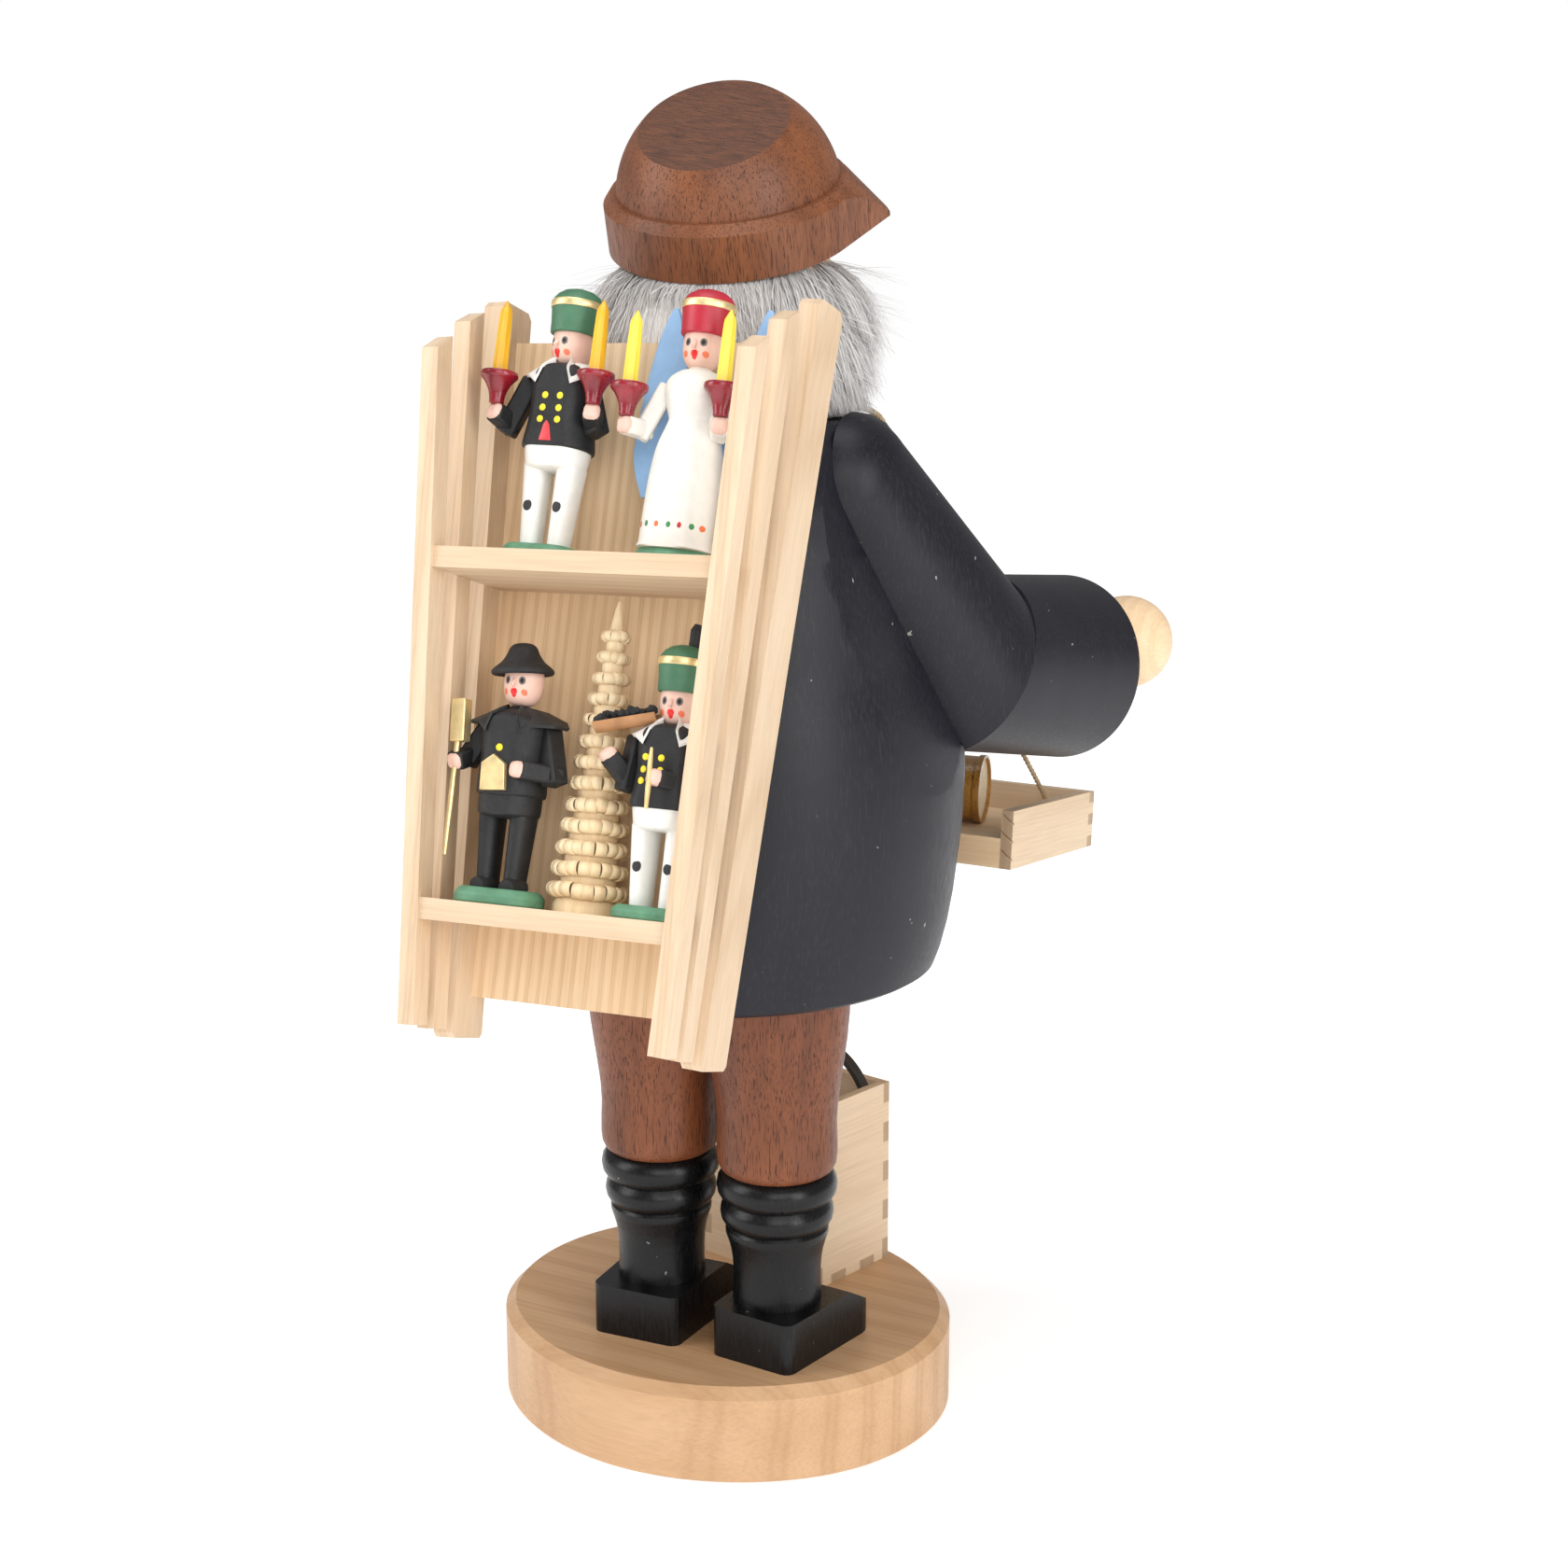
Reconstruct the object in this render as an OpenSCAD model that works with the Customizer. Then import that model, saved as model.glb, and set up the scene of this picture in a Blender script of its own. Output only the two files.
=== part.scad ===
// Turned incense smoker: a pedlar with a back frame of small carved figures, a belly tray
// and a finger-jointed crate. The upper figure lifts off the hip block to take the cone.
// Millimetres. Origin: middle of the base's underside. +Z up, the figure faces -Y,
// its right arm is on the -X side.

/* [Base] */
// Half length of the oval base across the figure
base_rx = 59.4; // [58:0.1:62]
// Half depth of the oval base
base_ry = 54; // [53:0.1:57]
// Thickness of the base
base_h = 24.2; // [20:0.1:26]
// Width of the bevel round the top edge
base_bevel = 2.6; // [1:0.1:4]

/* [Legs] */
// Height of a shoe block
shoe_h = 12.8; // [11:0.1:14]
// Height of the seam between boot and breeches
boot_top_z = 70.6; // [69:0.1:72]
// Greatest radius of the boot's rolled cuff
boot_roll_r = 15; // [13:0.1:15.5]
// Radius of the dowel through each leg
leg_dowel_r = 4; // [3:0.1:5]

/* [Figure] */
// Height of the coat's lower rim
coat_z = 122.4; // [122:0.1:122.8]
// Height of the coat's shoulder
coat_top_z = 253.8; // [253:0.1:255]
// Radius of the smoke chamber
chamber_r = 34; // [30:0.5:36]
// Radius of the recess that drops over the hip block
recess_r = 46; // [44:0.5:47]
// Radius of the head ball
head_r = 26; // [24:0.1:27]
// Radius of the mouth bore
mouth_r = 3.2; // [2.5:0.1:4]
// Radius of a hand
hand_r = 11.9; // [10:0.1:12]
// Diameter of the tray cord
cord_d = 1.5; // [1.2:0.1:1.8]

/* [Cap] */
// Radius of the cap band
band_r = 29; // [28:0.1:30]
// Height of the cap band
band_h = 10.7; // [9:0.1:12]
// Radius of the crown ball
crown_r = 26.2; // [25:0.1:27]
// Reach of the visor from the cap's axis
visor_r = 37; // [34:0.1:40]

/* [Tray] */
// Half width of the belly tray
tray_hw = 51.3; // [48:0.1:53]
// Depth of the belly tray
tray_d = 52.8; // [50:0.1:55]
// Height of the tray's side boards
tray_h = 15; // [14:0.1:17]
// Thickness of the tray's floor board
tray_floor = 7.7; // [6:0.1:8.5]
// Thickness of the tray's upright boards
tray_wall = 3.2; // [2.5:0.1:4]

/* [Back frame] */
// Half width between the posts at the lower shelf
pack_hw = 28.8; // [28:0.1:29.5]
// Height of the upper shelf above the lower one
shelf_gap = 74.4; // [73:0.1:76]
// Thickness of the shelves
shelf_t = 4.6; // [4:0.1:5]
// Thickness of the back panel
panel_t = 5.7; // [4:0.1:6]
// Width of the slim posts
post_w = 4; // [3.5:0.1:4.5]

/* [Crate] */
// Width of the crate
crate_w = 40; // [38:0.5:41]
// Depth of the crate
crate_d = 30; // [27:0.5:31]
// Height of the crate
crate_h = 50; // [46:0.5:52]
// Thickness of the crate's boards
crate_t = 2.4; // [2:0.1:3]

/* [Hidden] */
$fa = 4;
$fs = 0.6;
// radial play of the spigot in the chamber
run_play = 0.06;
// radial play of the recess round the hip disc
disc_play = 0.3;
// glue gap between round faces
glue = 0.03;
// gap where a board is scribed to the belly
scribe = 0.06;

// radius of the oval's end arcs
end_r = 50;

axis = [-10.5, 17.2];
leg_r = [-25.5, 17.5];
leg_l = [8, 18.5];
shoe_z = base_h;
boot_z = base_h + shoe_h;
hip_h = 8;
hip_r = recess_r - disc_play;
spigot_r = chamber_r - run_play;
spigot_top = coat_z + 19;

// coat outline, radius against height
coat_pts = [[49.8, coat_z], [51.4, 123.4], [52.9, 127.5], [54.5, 134], [55.7, 141], [57.6, 157.4],
            [58.1, 169], [57.9, 179], [57, 188.5], [55, 198], [54.3, 208], [53.1, 218.4],
            [51.3, 228], [48.6, 236.8], [45.4, 243], [41.5, 248.4], [38.6, 252], [35.4, coat_top_z]];
chamber_top = 236;
neck_bore = 7;

// the milled arm seats: x = seat_x at height seat_z, leaning in by seat_s
seat_x = 56;
seat_z = 177.9;
seat_s = 0.25;

// right sleeve: shoulder, elbow and cuff centres from the body axis
sh = [-33.7, 2.9, 239.7];
el = [-48.5, -29.8, 195.1];
cu = [-55.2, -75.1, 188.4];
sh_r = 16.4;
el_r = 21.2;
cu_r = 23.2;
hand_c = [-65.6, -92.5, 193.2];
wrist_r = 7;

head_c = [0, -4.5, 277.5];
neck_r = 13.5;
cap_o = [-1, -3, 299.7];
cap_tilt = 20.9;
cap_roll = -6.6;
crown_up = 3.9;
facet_d = 19.6;

pack_o = [-20.6, 88.6, 146.3];
pack_spread = 0.052;
pack_fan = atan(pack_spread);
panel_lo = -15.9;
panel_hi = 130.8;
rear_w = 4.8;
rear_n = 6.95;

tray_z = 138.7;
tray_y = -54.8;
tray_tilt = 5;
crate_o = [-24.7, -43.9, base_h];
crate_yaw = -11;

// Small helpers

function sq(v) = v * v;
function unit(v) = v / norm(v);

// turns the +Z axis onto direction d
module along(p, d) {
    u = unit(d);
    translate(p)
        rotate([0, acos(u[2]), atan2(u[1], u[0])])
            children();
}

// a carved square bar between two points
module bar(p, q, w) {
    along(p, q - p)
        translate([-w / 2, -w / 2, -w / 2])
            cube([w, w, norm(q - p) + w]);
}

module figure() {
    translate([axis[0], axis[1], 0])
        children();
}

// alternate cells of a row along X, to cut finger joints
module cells(len, n, odd, y, t, z, h) {
    for (i = [0:n - 1])
        if (i % 2 == odd)
            translate([i * len / n, y, z])
                cube([len / n, t, h]);
}

// Base and legs

module round_slab(r) {
    rotate_extrude($fn = 144)
        polygon([[0, 0], [r - 0.8, 0], [r, 0.8], [r, base_h - base_bevel],
                 [r - base_bevel, base_h], [0, base_h]]);
}

// oval of four arcs: two wide ones front and back, two tighter ones at the ends
module base() {
    c = base_rx - end_r;
    wide_r = (sq(c) + sq(base_ry) - sq(end_r)) / (2 * (base_ry - end_r));
    d = wide_r - base_ry;
    xt = c * wide_r / (wide_r - end_r);
    color([0.88, 0.74, 0.55]) {
        intersection() {
            translate([0, d, 0])
                round_slab(wide_r);
            translate([0, -d, 0])
                round_slab(wide_r);
            translate([-xt, -80, -1])
                cube([2 * xt, 160, 40]);
        }
        for (s = [-1, 1])
            intersection() {
                translate([s * c, 0, 0])
                    round_slab(end_r);
                translate([s > 0 ? xt - 0.01 : -xt - 39.99, -80, -1])
                    cube([40, 160, 40]);
            }
    }
}

// points of an arc from angle a0 to a1
function arc(c, r, a0, a1, n) =
    [for (i = [0:n]) let (a = a0 + (a1 - a0) * i / n) [c[0] + r * cos(a), c[1] + r * sin(a)]];

// heel at y = 0 with rounded corners, toe towards -Y, flat bevel over the toes
module shoe_block(w_heel, w_toe, len) {
    heel_r = 2.6;
    toe_r = 6;
    intersection() {
        linear_extrude(shoe_h)
            polygon(concat(arc([w_heel / 2 - heel_r, -heel_r], heel_r, 0, 90, 4),
                           arc([-w_heel / 2 + heel_r, -heel_r], heel_r, 90, 180, 4),
                           arc([-w_toe / 2 + toe_r, -len + toe_r], toe_r, 180, 270, 6),
                           arc([w_toe / 2 - toe_r, -len + toe_r], toe_r, 270, 360, 6)));
        rotate([90, 0, 90])
            translate([0, 0, -30])
                linear_extrude(60)
                    polygon([[1, -1], [1, shoe_h + 1], [-0.62 * len, shoe_h + 1], [-0.7 * len, shoe_h],
                             [-len, 0.5 * shoe_h], [-len - 1, 0.5 * shoe_h], [-len - 1, -1]]);
    }
}

module shoe(heel, turn, leg, w1, w2) {
    difference() {
        translate([heel[0], heel[1], shoe_z])
            rotate([0, 0, turn])
                shoe_block(w1, w2, 37);
        translate([leg[0], leg[1], boot_z - 8])
            cylinder(h = 10, r = leg_dowel_r + glue);
    }
}

module right_shoe() {
    color([0.08, 0.08, 0.09])
        shoe([-26.3, 32.5], -3.5, leg_r, 23.6, 27);
}

module left_shoe() {
    color([0.08, 0.08, 0.09])
        shoe([6.4, 34.2], 5, leg_l, 24, 27);
}

module boot(leg) {
    z = boot_z;
    translate([leg[0], leg[1], 0])
        difference() {
            union() {
                rotate_extrude($fn = 96)
                    polygon([[0, z], [11.1, z], [10.9, 41], [10.9, 44.5], [11.1, 47.5], [11.5, 50],
                             [12.1, 52.2], [12.8, 54.4], [12.8, 55.6], [12.3, 56.3], [13.1, 57],
                             [13.8, 58.2], [14.1, 59.8], [13.9, 61.2], [13.3, 62.3], [12.9, 62.9],
                             [13.9, 63.7], [14.7, 65], [boot_roll_r, 66.8], [14.7, 68.5],
                             [13.8, 69.9], [12.8, boot_top_z], [0, boot_top_z]]);
                translate([0, 0, z - 7])
                    cylinder(h = 9, r = leg_dowel_r);
            }
            translate([0, 0, boot_top_z - 8])
                cylinder(h = 10, r = leg_dowel_r + glue);
        }
}

module right_boot() {
    color([0.06, 0.06, 0.07])
        boot(leg_r);
}

module left_boot() {
    color([0.06, 0.06, 0.07])
        boot(leg_l);
}

// turned leg with a waist above the knee; the two legs meet in a flat sawn face
module breeches(leg, inner) {
    mid = (leg_l[0] - leg_r[0]) / 2 - glue;
    translate([leg[0], leg[1], 0]) {
        difference() {
            rotate_extrude($fn = 96)
                polygon([[0, boot_top_z], [13, boot_top_z], [14, 71.3], [14.7, 72.8], [14.95, 75],
                         [14.9, 79], [14.75, 83], [15, 88], [15.7, 93.5], [16.5, 99],
                         [17.3, 105], [17.8, 111], [18, coat_z], [0, coat_z]]);
            translate([inner > 0 ? mid : -mid - 10, -30, boot_top_z - 1])
                cube([10, 60, 80]);
        }
        translate([0, 0, boot_top_z - 7])
            cylinder(h = 9, r = leg_dowel_r);
        translate([0, 0, coat_z - 1])
            cylinder(h = 6, r = leg_dowel_r);
    }
}

module right_breeches() {
    color([0.42, 0.2, 0.12])
        breeches(leg_r, 1);
}

module left_breeches() {
    color([0.42, 0.2, 0.12])
        breeches(leg_l, -1);
}

module hip_block() {
    color([0.42, 0.2, 0.12])
        difference() {
            figure() {
                translate([0, 0, coat_z])
                    cylinder(h = hip_h, r = hip_r, $fn = 144);
                rotate_extrude($fn = 144)
                    polygon([[0, coat_z + 1], [spigot_r, coat_z + 1], [spigot_r, spigot_top - 1],
                             [spigot_r - 1, spigot_top], [0, spigot_top]]);
            }
            for (leg = [leg_r, leg_l])
                translate([leg[0], leg[1], coat_z - 1])
                    cylinder(h = 6.5, r = leg_dowel_r + glue);
            figure()
                translate([0, 0, spigot_top - 4])
                    cylinder(h = 6, r = 12 + glue, $fn = 96);
        }
}

// pressed metal cup that holds the cone
module cone_dish() {
    color([0.78, 0.72, 0.52])
        figure()
            rotate_extrude($fn = 96)
                polygon([[0, spigot_top - 4], [12, spigot_top - 4], [12, spigot_top], [15, spigot_top],
                         [15, spigot_top + 0.5], [11.3, spigot_top + 0.5], [11.3, spigot_top - 3.3],
                         [0, spigot_top - 3.3]]);
}

// Coat

module coat_solid(grow) {
    rotate_extrude($fn = 144)
        polygon(concat([[0, coat_z]], [for (p = coat_pts) [p[0] + grow, p[1]]], [[0, coat_top_z]]));
}

// everything outside the arm seat on one side (side = -1 right, 1 left)
module seat_cut(side) {
    mirror([side < 0 ? 0 : 1, 0, 0])
        translate([-seat_x, 0, seat_z])
            rotate([0, atan(seat_s), 0])
                translate([-80, -90, -110])
                    cube([80, 180, 220]);
}

// everything behind the plane the back frame lies on, in the pack's own frame
module pack_seat_cut() {
    in_pack()
        translate([-90, -panel_t, -120])
            cube([180, 90, 300]);
}

module coat() {
    color([0.1, 0.12, 0.17])
        difference() {
            figure()
                coat_solid(0);
            figure() {
                seat_cut(-1);
                seat_cut(1);
                // recess, chamber and neck passage
                rotate_extrude($fn = 144)
                    polygon([[0, coat_z - 1], [recess_r, coat_z - 1], [recess_r, coat_z + hip_h],
                             [chamber_r, coat_z + hip_h], [chamber_r, chamber_top - 26],
                             [neck_bore, chamber_top], [neck_bore, coat_top_z + 1], [0, coat_top_z + 1]]);
            }
            pack_seat_cut();
            in_pack()
                peg_row(glue);
        }
}

// Arms and hands, drawn for the right side

module elbow_half(side) {
    n = unit(el - sh) + unit(cu - el);
    along(el, side * n)
        translate([-90, -90, 0])
            cube([180, 180, 120]);
}

module upper_arm_shape() {
    d = unit(el - sh);
    slope = (el_r - sh_r) / norm(el - sh);
    difference() {
        intersection() {
            union() {
                along(sh, d)
                    cylinder(h = norm(el - sh) + 26, r1 = sh_r, r2 = el_r + slope * 26, $fn = 96);
                translate(sh)
                    sphere(sh_r, $fn = 96);
            }
            seat_cut(-1);
        }
        elbow_half(1);
    }
}

module forearm_shape() {
    d = unit(cu - el);
    slope = (cu_r - el_r) / norm(cu - el);
    difference() {
        intersection() {
            along(el - 26 * d, d)
                union() {
                    cylinder(h = norm(cu - el) + 25, r1 = el_r - slope * 26, r2 = cu_r, $fn = 96);
                    translate([0, 0, norm(cu - el) + 25])
                        cylinder(h = 1, r1 = cu_r, r2 = cu_r - 1, $fn = 96);
                }
            elbow_half(1);
        }
        coat_solid(scribe);
        along(hand_c, -d)
            cylinder(h = 26.1, r = wrist_r + glue);
        along(cu - 2 * d, d)
            cylinder(h = 4, r = cu_r - 4, $fn = 96);
    }
}

module hand_shape() {
    translate(hand_c)
        sphere(hand_r, $fn = 96);
    along(hand_c, unit(el - cu))
        cylinder(h = 26, r = wrist_r);
}

module right_upper_arm() {
    color([0.1, 0.12, 0.17])
        figure()
            upper_arm_shape();
}

module left_upper_arm() {
    color([0.1, 0.12, 0.17])
        figure()
            mirror([1, 0, 0])
                upper_arm_shape();
}

module right_forearm() {
    color([0.1, 0.12, 0.17])
        figure()
            forearm_shape();
}

module left_forearm() {
    color([0.1, 0.12, 0.17])
        figure()
            mirror([1, 0, 0])
                forearm_shape();
}

module right_hand() {
    color([0.93, 0.8, 0.62])
        figure()
            hand_shape();
}

module left_hand() {
    color([0.93, 0.8, 0.62])
        figure()
            mirror([1, 0, 0])
                hand_shape();
}

// Head

module in_cap() {
    translate(cap_o)
        rotate([0, cap_roll, 0])
            rotate([-cap_tilt, 0, 0])
                children();
}

module head_solid(grow) {
    translate(head_c)
        sphere(head_r + grow, $fn = 120);
    translate([0, 0, coat_top_z])
        cylinder(h = 14, r = neck_r + grow, $fn = 96);
}

module head() {
    color([0.9, 0.74, 0.56])
        figure()
            difference() {
                head_solid(0);
                in_cap()
                    translate([-60, -60, -band_h / 2])
                        cube([120, 120, 60]);
                translate([-60, -60, coat_top_z - 40])
                    cube([120, 120, 40]);
                translate([0, 0, coat_top_z - 1])
                    cylinder(h = 22, r = neck_bore);
                translate([0, 0, coat_top_z + 16])
                    rotate([90, 0, 0])
                        cylinder(h = 60, r = mouth_r);
                translate([0, -head_r - 4.5 + 6, coat_top_z + 24])
                    rotate([90, 0, 0])
                        cylinder(h = 20, r = 2 + glue);
            }
}

// turned pear-shaped nose on a peg
module nose() {
    color([0.88, 0.66, 0.48])
        figure()
            translate([0, head_c[1] - 25.6, coat_top_z + 24]) {
                difference() {
                    sphere(4.6);
                    translate(head_c - [0, head_c[1] - 25.6, coat_top_z + 24])
                        sphere(head_r + glue, $fn = 120);
                }
                translate([0, -2, 0])
                    rotate([-90, 0, 0])
                        cylinder(h = 7, r = 2);
            }
}

// collar of fur round the back and sides of the head
module hair_fur() {
    color([0.6, 0.6, 0.6])
        difference() {
            figure()
                difference() {
                    rotate([0, 0, -42])
                        rotate_extrude(angle = 264, $fn = 72)
                            polygon([[20, 257], [27, 257.5], [31, 261], [33.5, 267], [34, 273], [32, 280],
                                     [29, 285.5], [24, 289], [20, 289]]);
                    head_solid(scribe);
                    in_cap()
                        translate([-60, -60, -band_h / 2 - scribe])
                            cube([120, 120, 60]);
                }
            in_pack()
                translate([-60, -panel_t - 0.3, -20])
                    cube([120, 60, 200]);
        }
}

// full beard below the mouth
module beard_fur() {
    color([0.6, 0.6, 0.6])
        figure()
            difference() {
                rotate([0, 0, 226])
                    rotate_extrude(angle = 88, $fn = 72)
                        polygon([[18, 259], [31, 256], [36, 258], [38.5, 263], [37, 269],
                                 [31, 275], [20, 275]]);
                head_solid(scribe);
                translate([0, 0, coat_top_z + 16])
                    rotate([90, 0, 0])
                        cylinder(h = 60, r = mouth_r + 1.4);
                translate([0, -34, coat_top_z + 24])
                    sphere(7.5);
            }
}

// Cap

module cap_brim() {
    h2 = band_h / 2;
    color([0.45, 0.22, 0.12])
        figure()
            in_cap()
                difference() {
                    union() {
                        translate([0, 0, -h2])
                            cylinder(h = band_h, r = band_r, $fn = 120);
                        translate([0, 0, h2 - 0.01])
                            cylinder(h = 2.3, r1 = band_r, r2 = band_r - 1.7, $fn = 120);
                        intersection() {
                            rotate_extrude($fn = 120)
                                polygon([[0, -h2], [visor_r, -h2], [visor_r, -h2 + 1],
                                         [visor_r - 0.4, -h2 + 1.5], [band_r - 0.6, h2 + 1],
                                         [0, h2 + 1]]);
                            translate([-band_r, -60, -20])
                                cube([2 * band_r, 60, 40]);
                        }
                    }
                    translate([0, 0, h2 - 1])
                        cylinder(h = 8, r = crown_r - 0.8 + glue, $fn = 120);
                }
}

module cap_crown() {
    color([0.45, 0.22, 0.12])
        figure()
            in_cap()
                difference() {
                    intersection() {
                        translate([0, 0, crown_up])
                            sphere(crown_r, $fn = 120);
                        translate([-40, -40, band_h / 2 - 1])
                            cube([80, 80, 60]);
                        union() {
                            translate([0, 0, band_h / 2 - 1])
                                cylinder(h = 6, r = crown_r - 0.8, $fn = 120);
                            translate([-40, -40, band_h / 2 + 2.3])
                                cube([80, 80, 60]);
                        }
                    }
                    // sawn oblique facet
                    translate([0, 0, crown_up])
                        rotate([0, -3.4, 0])
                            rotate([-15.3, 0, 0])
                                translate([-40, -40, facet_d])
                                    cube([80, 80, 40]);
                }
}

// Belly tray

// x to the figure's right, y forward, z up from the floor board's underside
module in_tray() {
    figure()
        translate([0, tray_y, tray_z])
            rotate([0, 0, 180])
                rotate([-tray_tilt, 0, 0])
                    children();
}

module tray_floor() {
    w = tray_hw - tray_wall;
    color([0.86, 0.72, 0.52])
        difference() {
            in_tray()
                translate([-w, 0, 0])
                    cube([2 * w, tray_d - tray_wall, tray_floor]);
            figure()
                coat_solid(scribe);
            in_tray()
                for (side = [-1, 1])
                    translate([side * cord_hole[0], cord_hole[1], -1])
                        cylinder(h = 20, r = cord_d / 2 + 0.1, $fn = 24);
        }
}

module tray_front() {
    color([0.88, 0.75, 0.56])
        difference() {
            in_tray()
                translate([-tray_hw, tray_d - tray_wall, 0])
                    cube([2 * tray_hw, tray_wall, tray_h]);
            in_tray()
                for (x = [-tray_hw - 1, tray_hw - tray_wall])
                    for (i = [1, 3])
                        translate([x, tray_d - tray_wall - 1, i * tray_h / 5])
                            cube([tray_wall + 1, tray_wall + 2, tray_h / 5]);
        }
}

module tray_side_board(side) {
    finger = tray_h / 5;
    in_tray()
        mirror([side < 0 ? 1 : 0, 0, 0])
            difference() {
                translate([tray_hw - tray_wall, 0, 0])
                    cube([tray_wall, tray_d, tray_h]);
                for (i = [0, 2, 4])
                    translate([tray_hw - tray_wall - 1, tray_d - tray_wall,
                               i * finger - (i == 0 ? 1 : 0)])
                        cube([tray_wall + 2, tray_wall + 1, finger + (i == 2 ? 0 : 1)]);
                // slanting saw lines on the end grain
                for (i = [0:2])
                    translate([tray_hw, -0.01, 2.2 + i * 4.6])
                        rotate([0, 38, 0])
                            translate([-6, 0, 0])
                                cube([8, 0.7, 0.5]);
            }
}

module tray_right_side() {
    color([0.88, 0.75, 0.56])
        tray_side_board(1);
}

module tray_left_side() {
    color([0.88, 0.75, 0.56])
        tray_side_board(-1);
}

// cord hole in the floor board, from the tray's middle rear edge
cord_hole = [40.4, tray_d - tray_wall - 2.4];

// the cord's route from the body axis: right hole, over the shoulder, round the neck
cord_half = [[-40.4, -101.9, 134.4], [-40.4, -102.5, 143.6], [-39.6, -101.6, 148], [-36.4, -92, 162.5],
             [-32.1, -80, 181.5], [-30.1, -72, 193.5], [-28.7, -62, 208.5], [-26.6, -50, 227],
             [-24.8, -42, 240.5], [-23.8, -36.6, 250.4], [-22.9, -32.5, 253.6], [-21.8, -27.5, 254.9],
             [-20, -20, 255.05], [-18.4, -12, 255.05], [-17.6, -4, 255.05], [-16.4, 4, 255.05],
             [-13.4, 10.6, 255.05], [-8, 15.2, 255.05], [0, 17, 255.05]];
function mirrored(p) = [-p[0], p[1], p[2]];
cord_pts = concat(cord_half, [for (i = [len(cord_half) - 2:-1:0]) mirrored(cord_half[i])]);

function cr(a, b, c, d, t) = 0.5 * ((2 * b) + (c - a) * t + (2 * a - 5 * b + 4 * c - d) * t * t
    + (3 * b - a - 3 * c + d) * t * t * t);
function cr_at(p, i, t) = cr(p[max(i - 1, 0)], p[i], p[i + 1], p[min(i + 2, len(p) - 1)], t);
function dense(p, k) = concat([for (i = [0:len(p) - 2]) for (j = [0:k - 1]) cr_at(p, i, j / k)],
                              [p[len(p) - 1]]);

// a round tube swept along points
module sweep(p, r, n) {
    m = len(p);
    tang = [for (i = [0:m - 1]) unit(p[min(i + 1, m - 1)] - p[max(i - 1, 0)])];
    ring = [for (i = [0:m - 1])
        let (t = tang[i], u = unit(cross(t, [0.12, 1, 0.31])), v = cross(t, u))
        [for (j = [0:n - 1]) p[i] + r * (cos(360 * j / n) * u + sin(360 * j / n) * v)]];
    pts = [for (a = ring) for (b = a) b];
    faces = concat([[for (j = [0:n - 1]) j]],
                   [for (i = [0:m - 2]) for (j = [0:n - 1])
                       [i * n + j, (i + 1) * n + j, (i + 1) * n + (j + 1) % n, i * n + (j + 1) % n]],
                   [[for (j = [n - 1:-1:0]) (m - 1) * n + j]]);
    polyhedron(points = pts, faces = faces, convexity = 6);
}

module tray_cord() {
    color([0.72, 0.65, 0.5])
        figure()
            sweep(dense(cord_pts, 2), cord_d / 2, 8);
}

// toy drum standing on edge
module toy_drum() {
    color([0.66, 0.42, 0.12])
        in_tray()
            translate([tray_hw - 22.3, 20, tray_floor + 9])
                rotate([0, 90, 14])
                    rotate_extrude($fn = 60)
                        polygon([[0, -3.6], [8.2, -3.6], [8.2, -4.4], [9, -4.4], [9, -2.8], [8.5, -2.6],
                                 [8.5, 2.6], [9, 2.8], [9, 4.4], [8.2, 4.4], [8.2, 3.6], [0, 3.6]]);
}

// toy horse on a plank with slanting legs and a saddle
module toy_horse() {
    color([0.85, 0.75, 0.58])
        in_tray()
            translate([6, 26, tray_floor]) {
                translate([-4, -11, 0])
                    cube([8, 22, 1.6]);
                for (s = [-1, 1])
                    translate([0, s * 7.6, 1.2])
                        rotate([s * 14, 0, 0])
                            translate([-2.4, -1.2, 0])
                                cube([4.8, 2.4, 11]);
                translate([0, 9, 14])
                    rotate([90, 0, 0])
                        cylinder(h = 18, r = 4);
                translate([0, 8, 14])
                    rotate([-32, 0, 0])
                        cylinder(h = 11, r1 = 3, r2 = 2.2);
                translate([0, 16.6, 22.6])
                    rotate([62, 0, 0])
                        translate([0, 0, -3])
                            cylinder(h = 7.6, r1 = 1.7, r2 = 2.5);
                translate([-3.6, -4, 15])
                    cube([7.2, 8, 3.8]);
            }
}

// Back frame

// x across to the figure's left, y out to the viewer behind, z up the panel
module in_pack() {
    translate(pack_o)
        rotate([0, 0, 6])
            rotate([17, 0, 0])
                rotate([0, 0.8, 0])
                    children();
}

function hw(u) = pack_hw + pack_spread * u;

module pack_panel() {
    color([0.87, 0.72, 0.5])
        difference() {
            in_pack()
                rotate([90, 0, 0])
                    linear_extrude(panel_t)
                        polygon([[-hw(panel_lo), panel_lo], [hw(panel_lo), panel_lo],
                                 [hw(panel_hi), panel_hi], [-hw(panel_hi), panel_hi]]);
            in_pack()
                peg_row(glue);
        }
}

// one post: side outline from the lower to the upper end, leaning out with the panel's edge
module post(side, w, outline) {
    in_pack()
        mirror([side < 0 ? 1 : 0, 0, 0])
            translate([pack_hw, 0, 0])
                rotate([0, pack_fan, 0])
                    rotate([90, 0, 90])
                        linear_extrude(w)
                            polygon(outline);
}

front_post = [[23.2 - 5.6, -22.5], [23.2, -22.5], [24 + 8.7, 121.2], [24 + 8.7 - 5.6, 125]];
middle_post = [[15.2 - 5.6, -23.2], [15.2, -23.2], [15.8 + 4.6, 130.3], [15.8 + 4.6 - 5.6, 133.7]];
rear_post = [[-panel_t, -24], [-panel_t + 1, -25.1], [rear_n - 1.2, -25.1], [rear_n, -24],
             [rear_n, 137.6], [rear_n - 1.4, 139], [-panel_t + 1.4, 139], [-panel_t, 137.6]];

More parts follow.
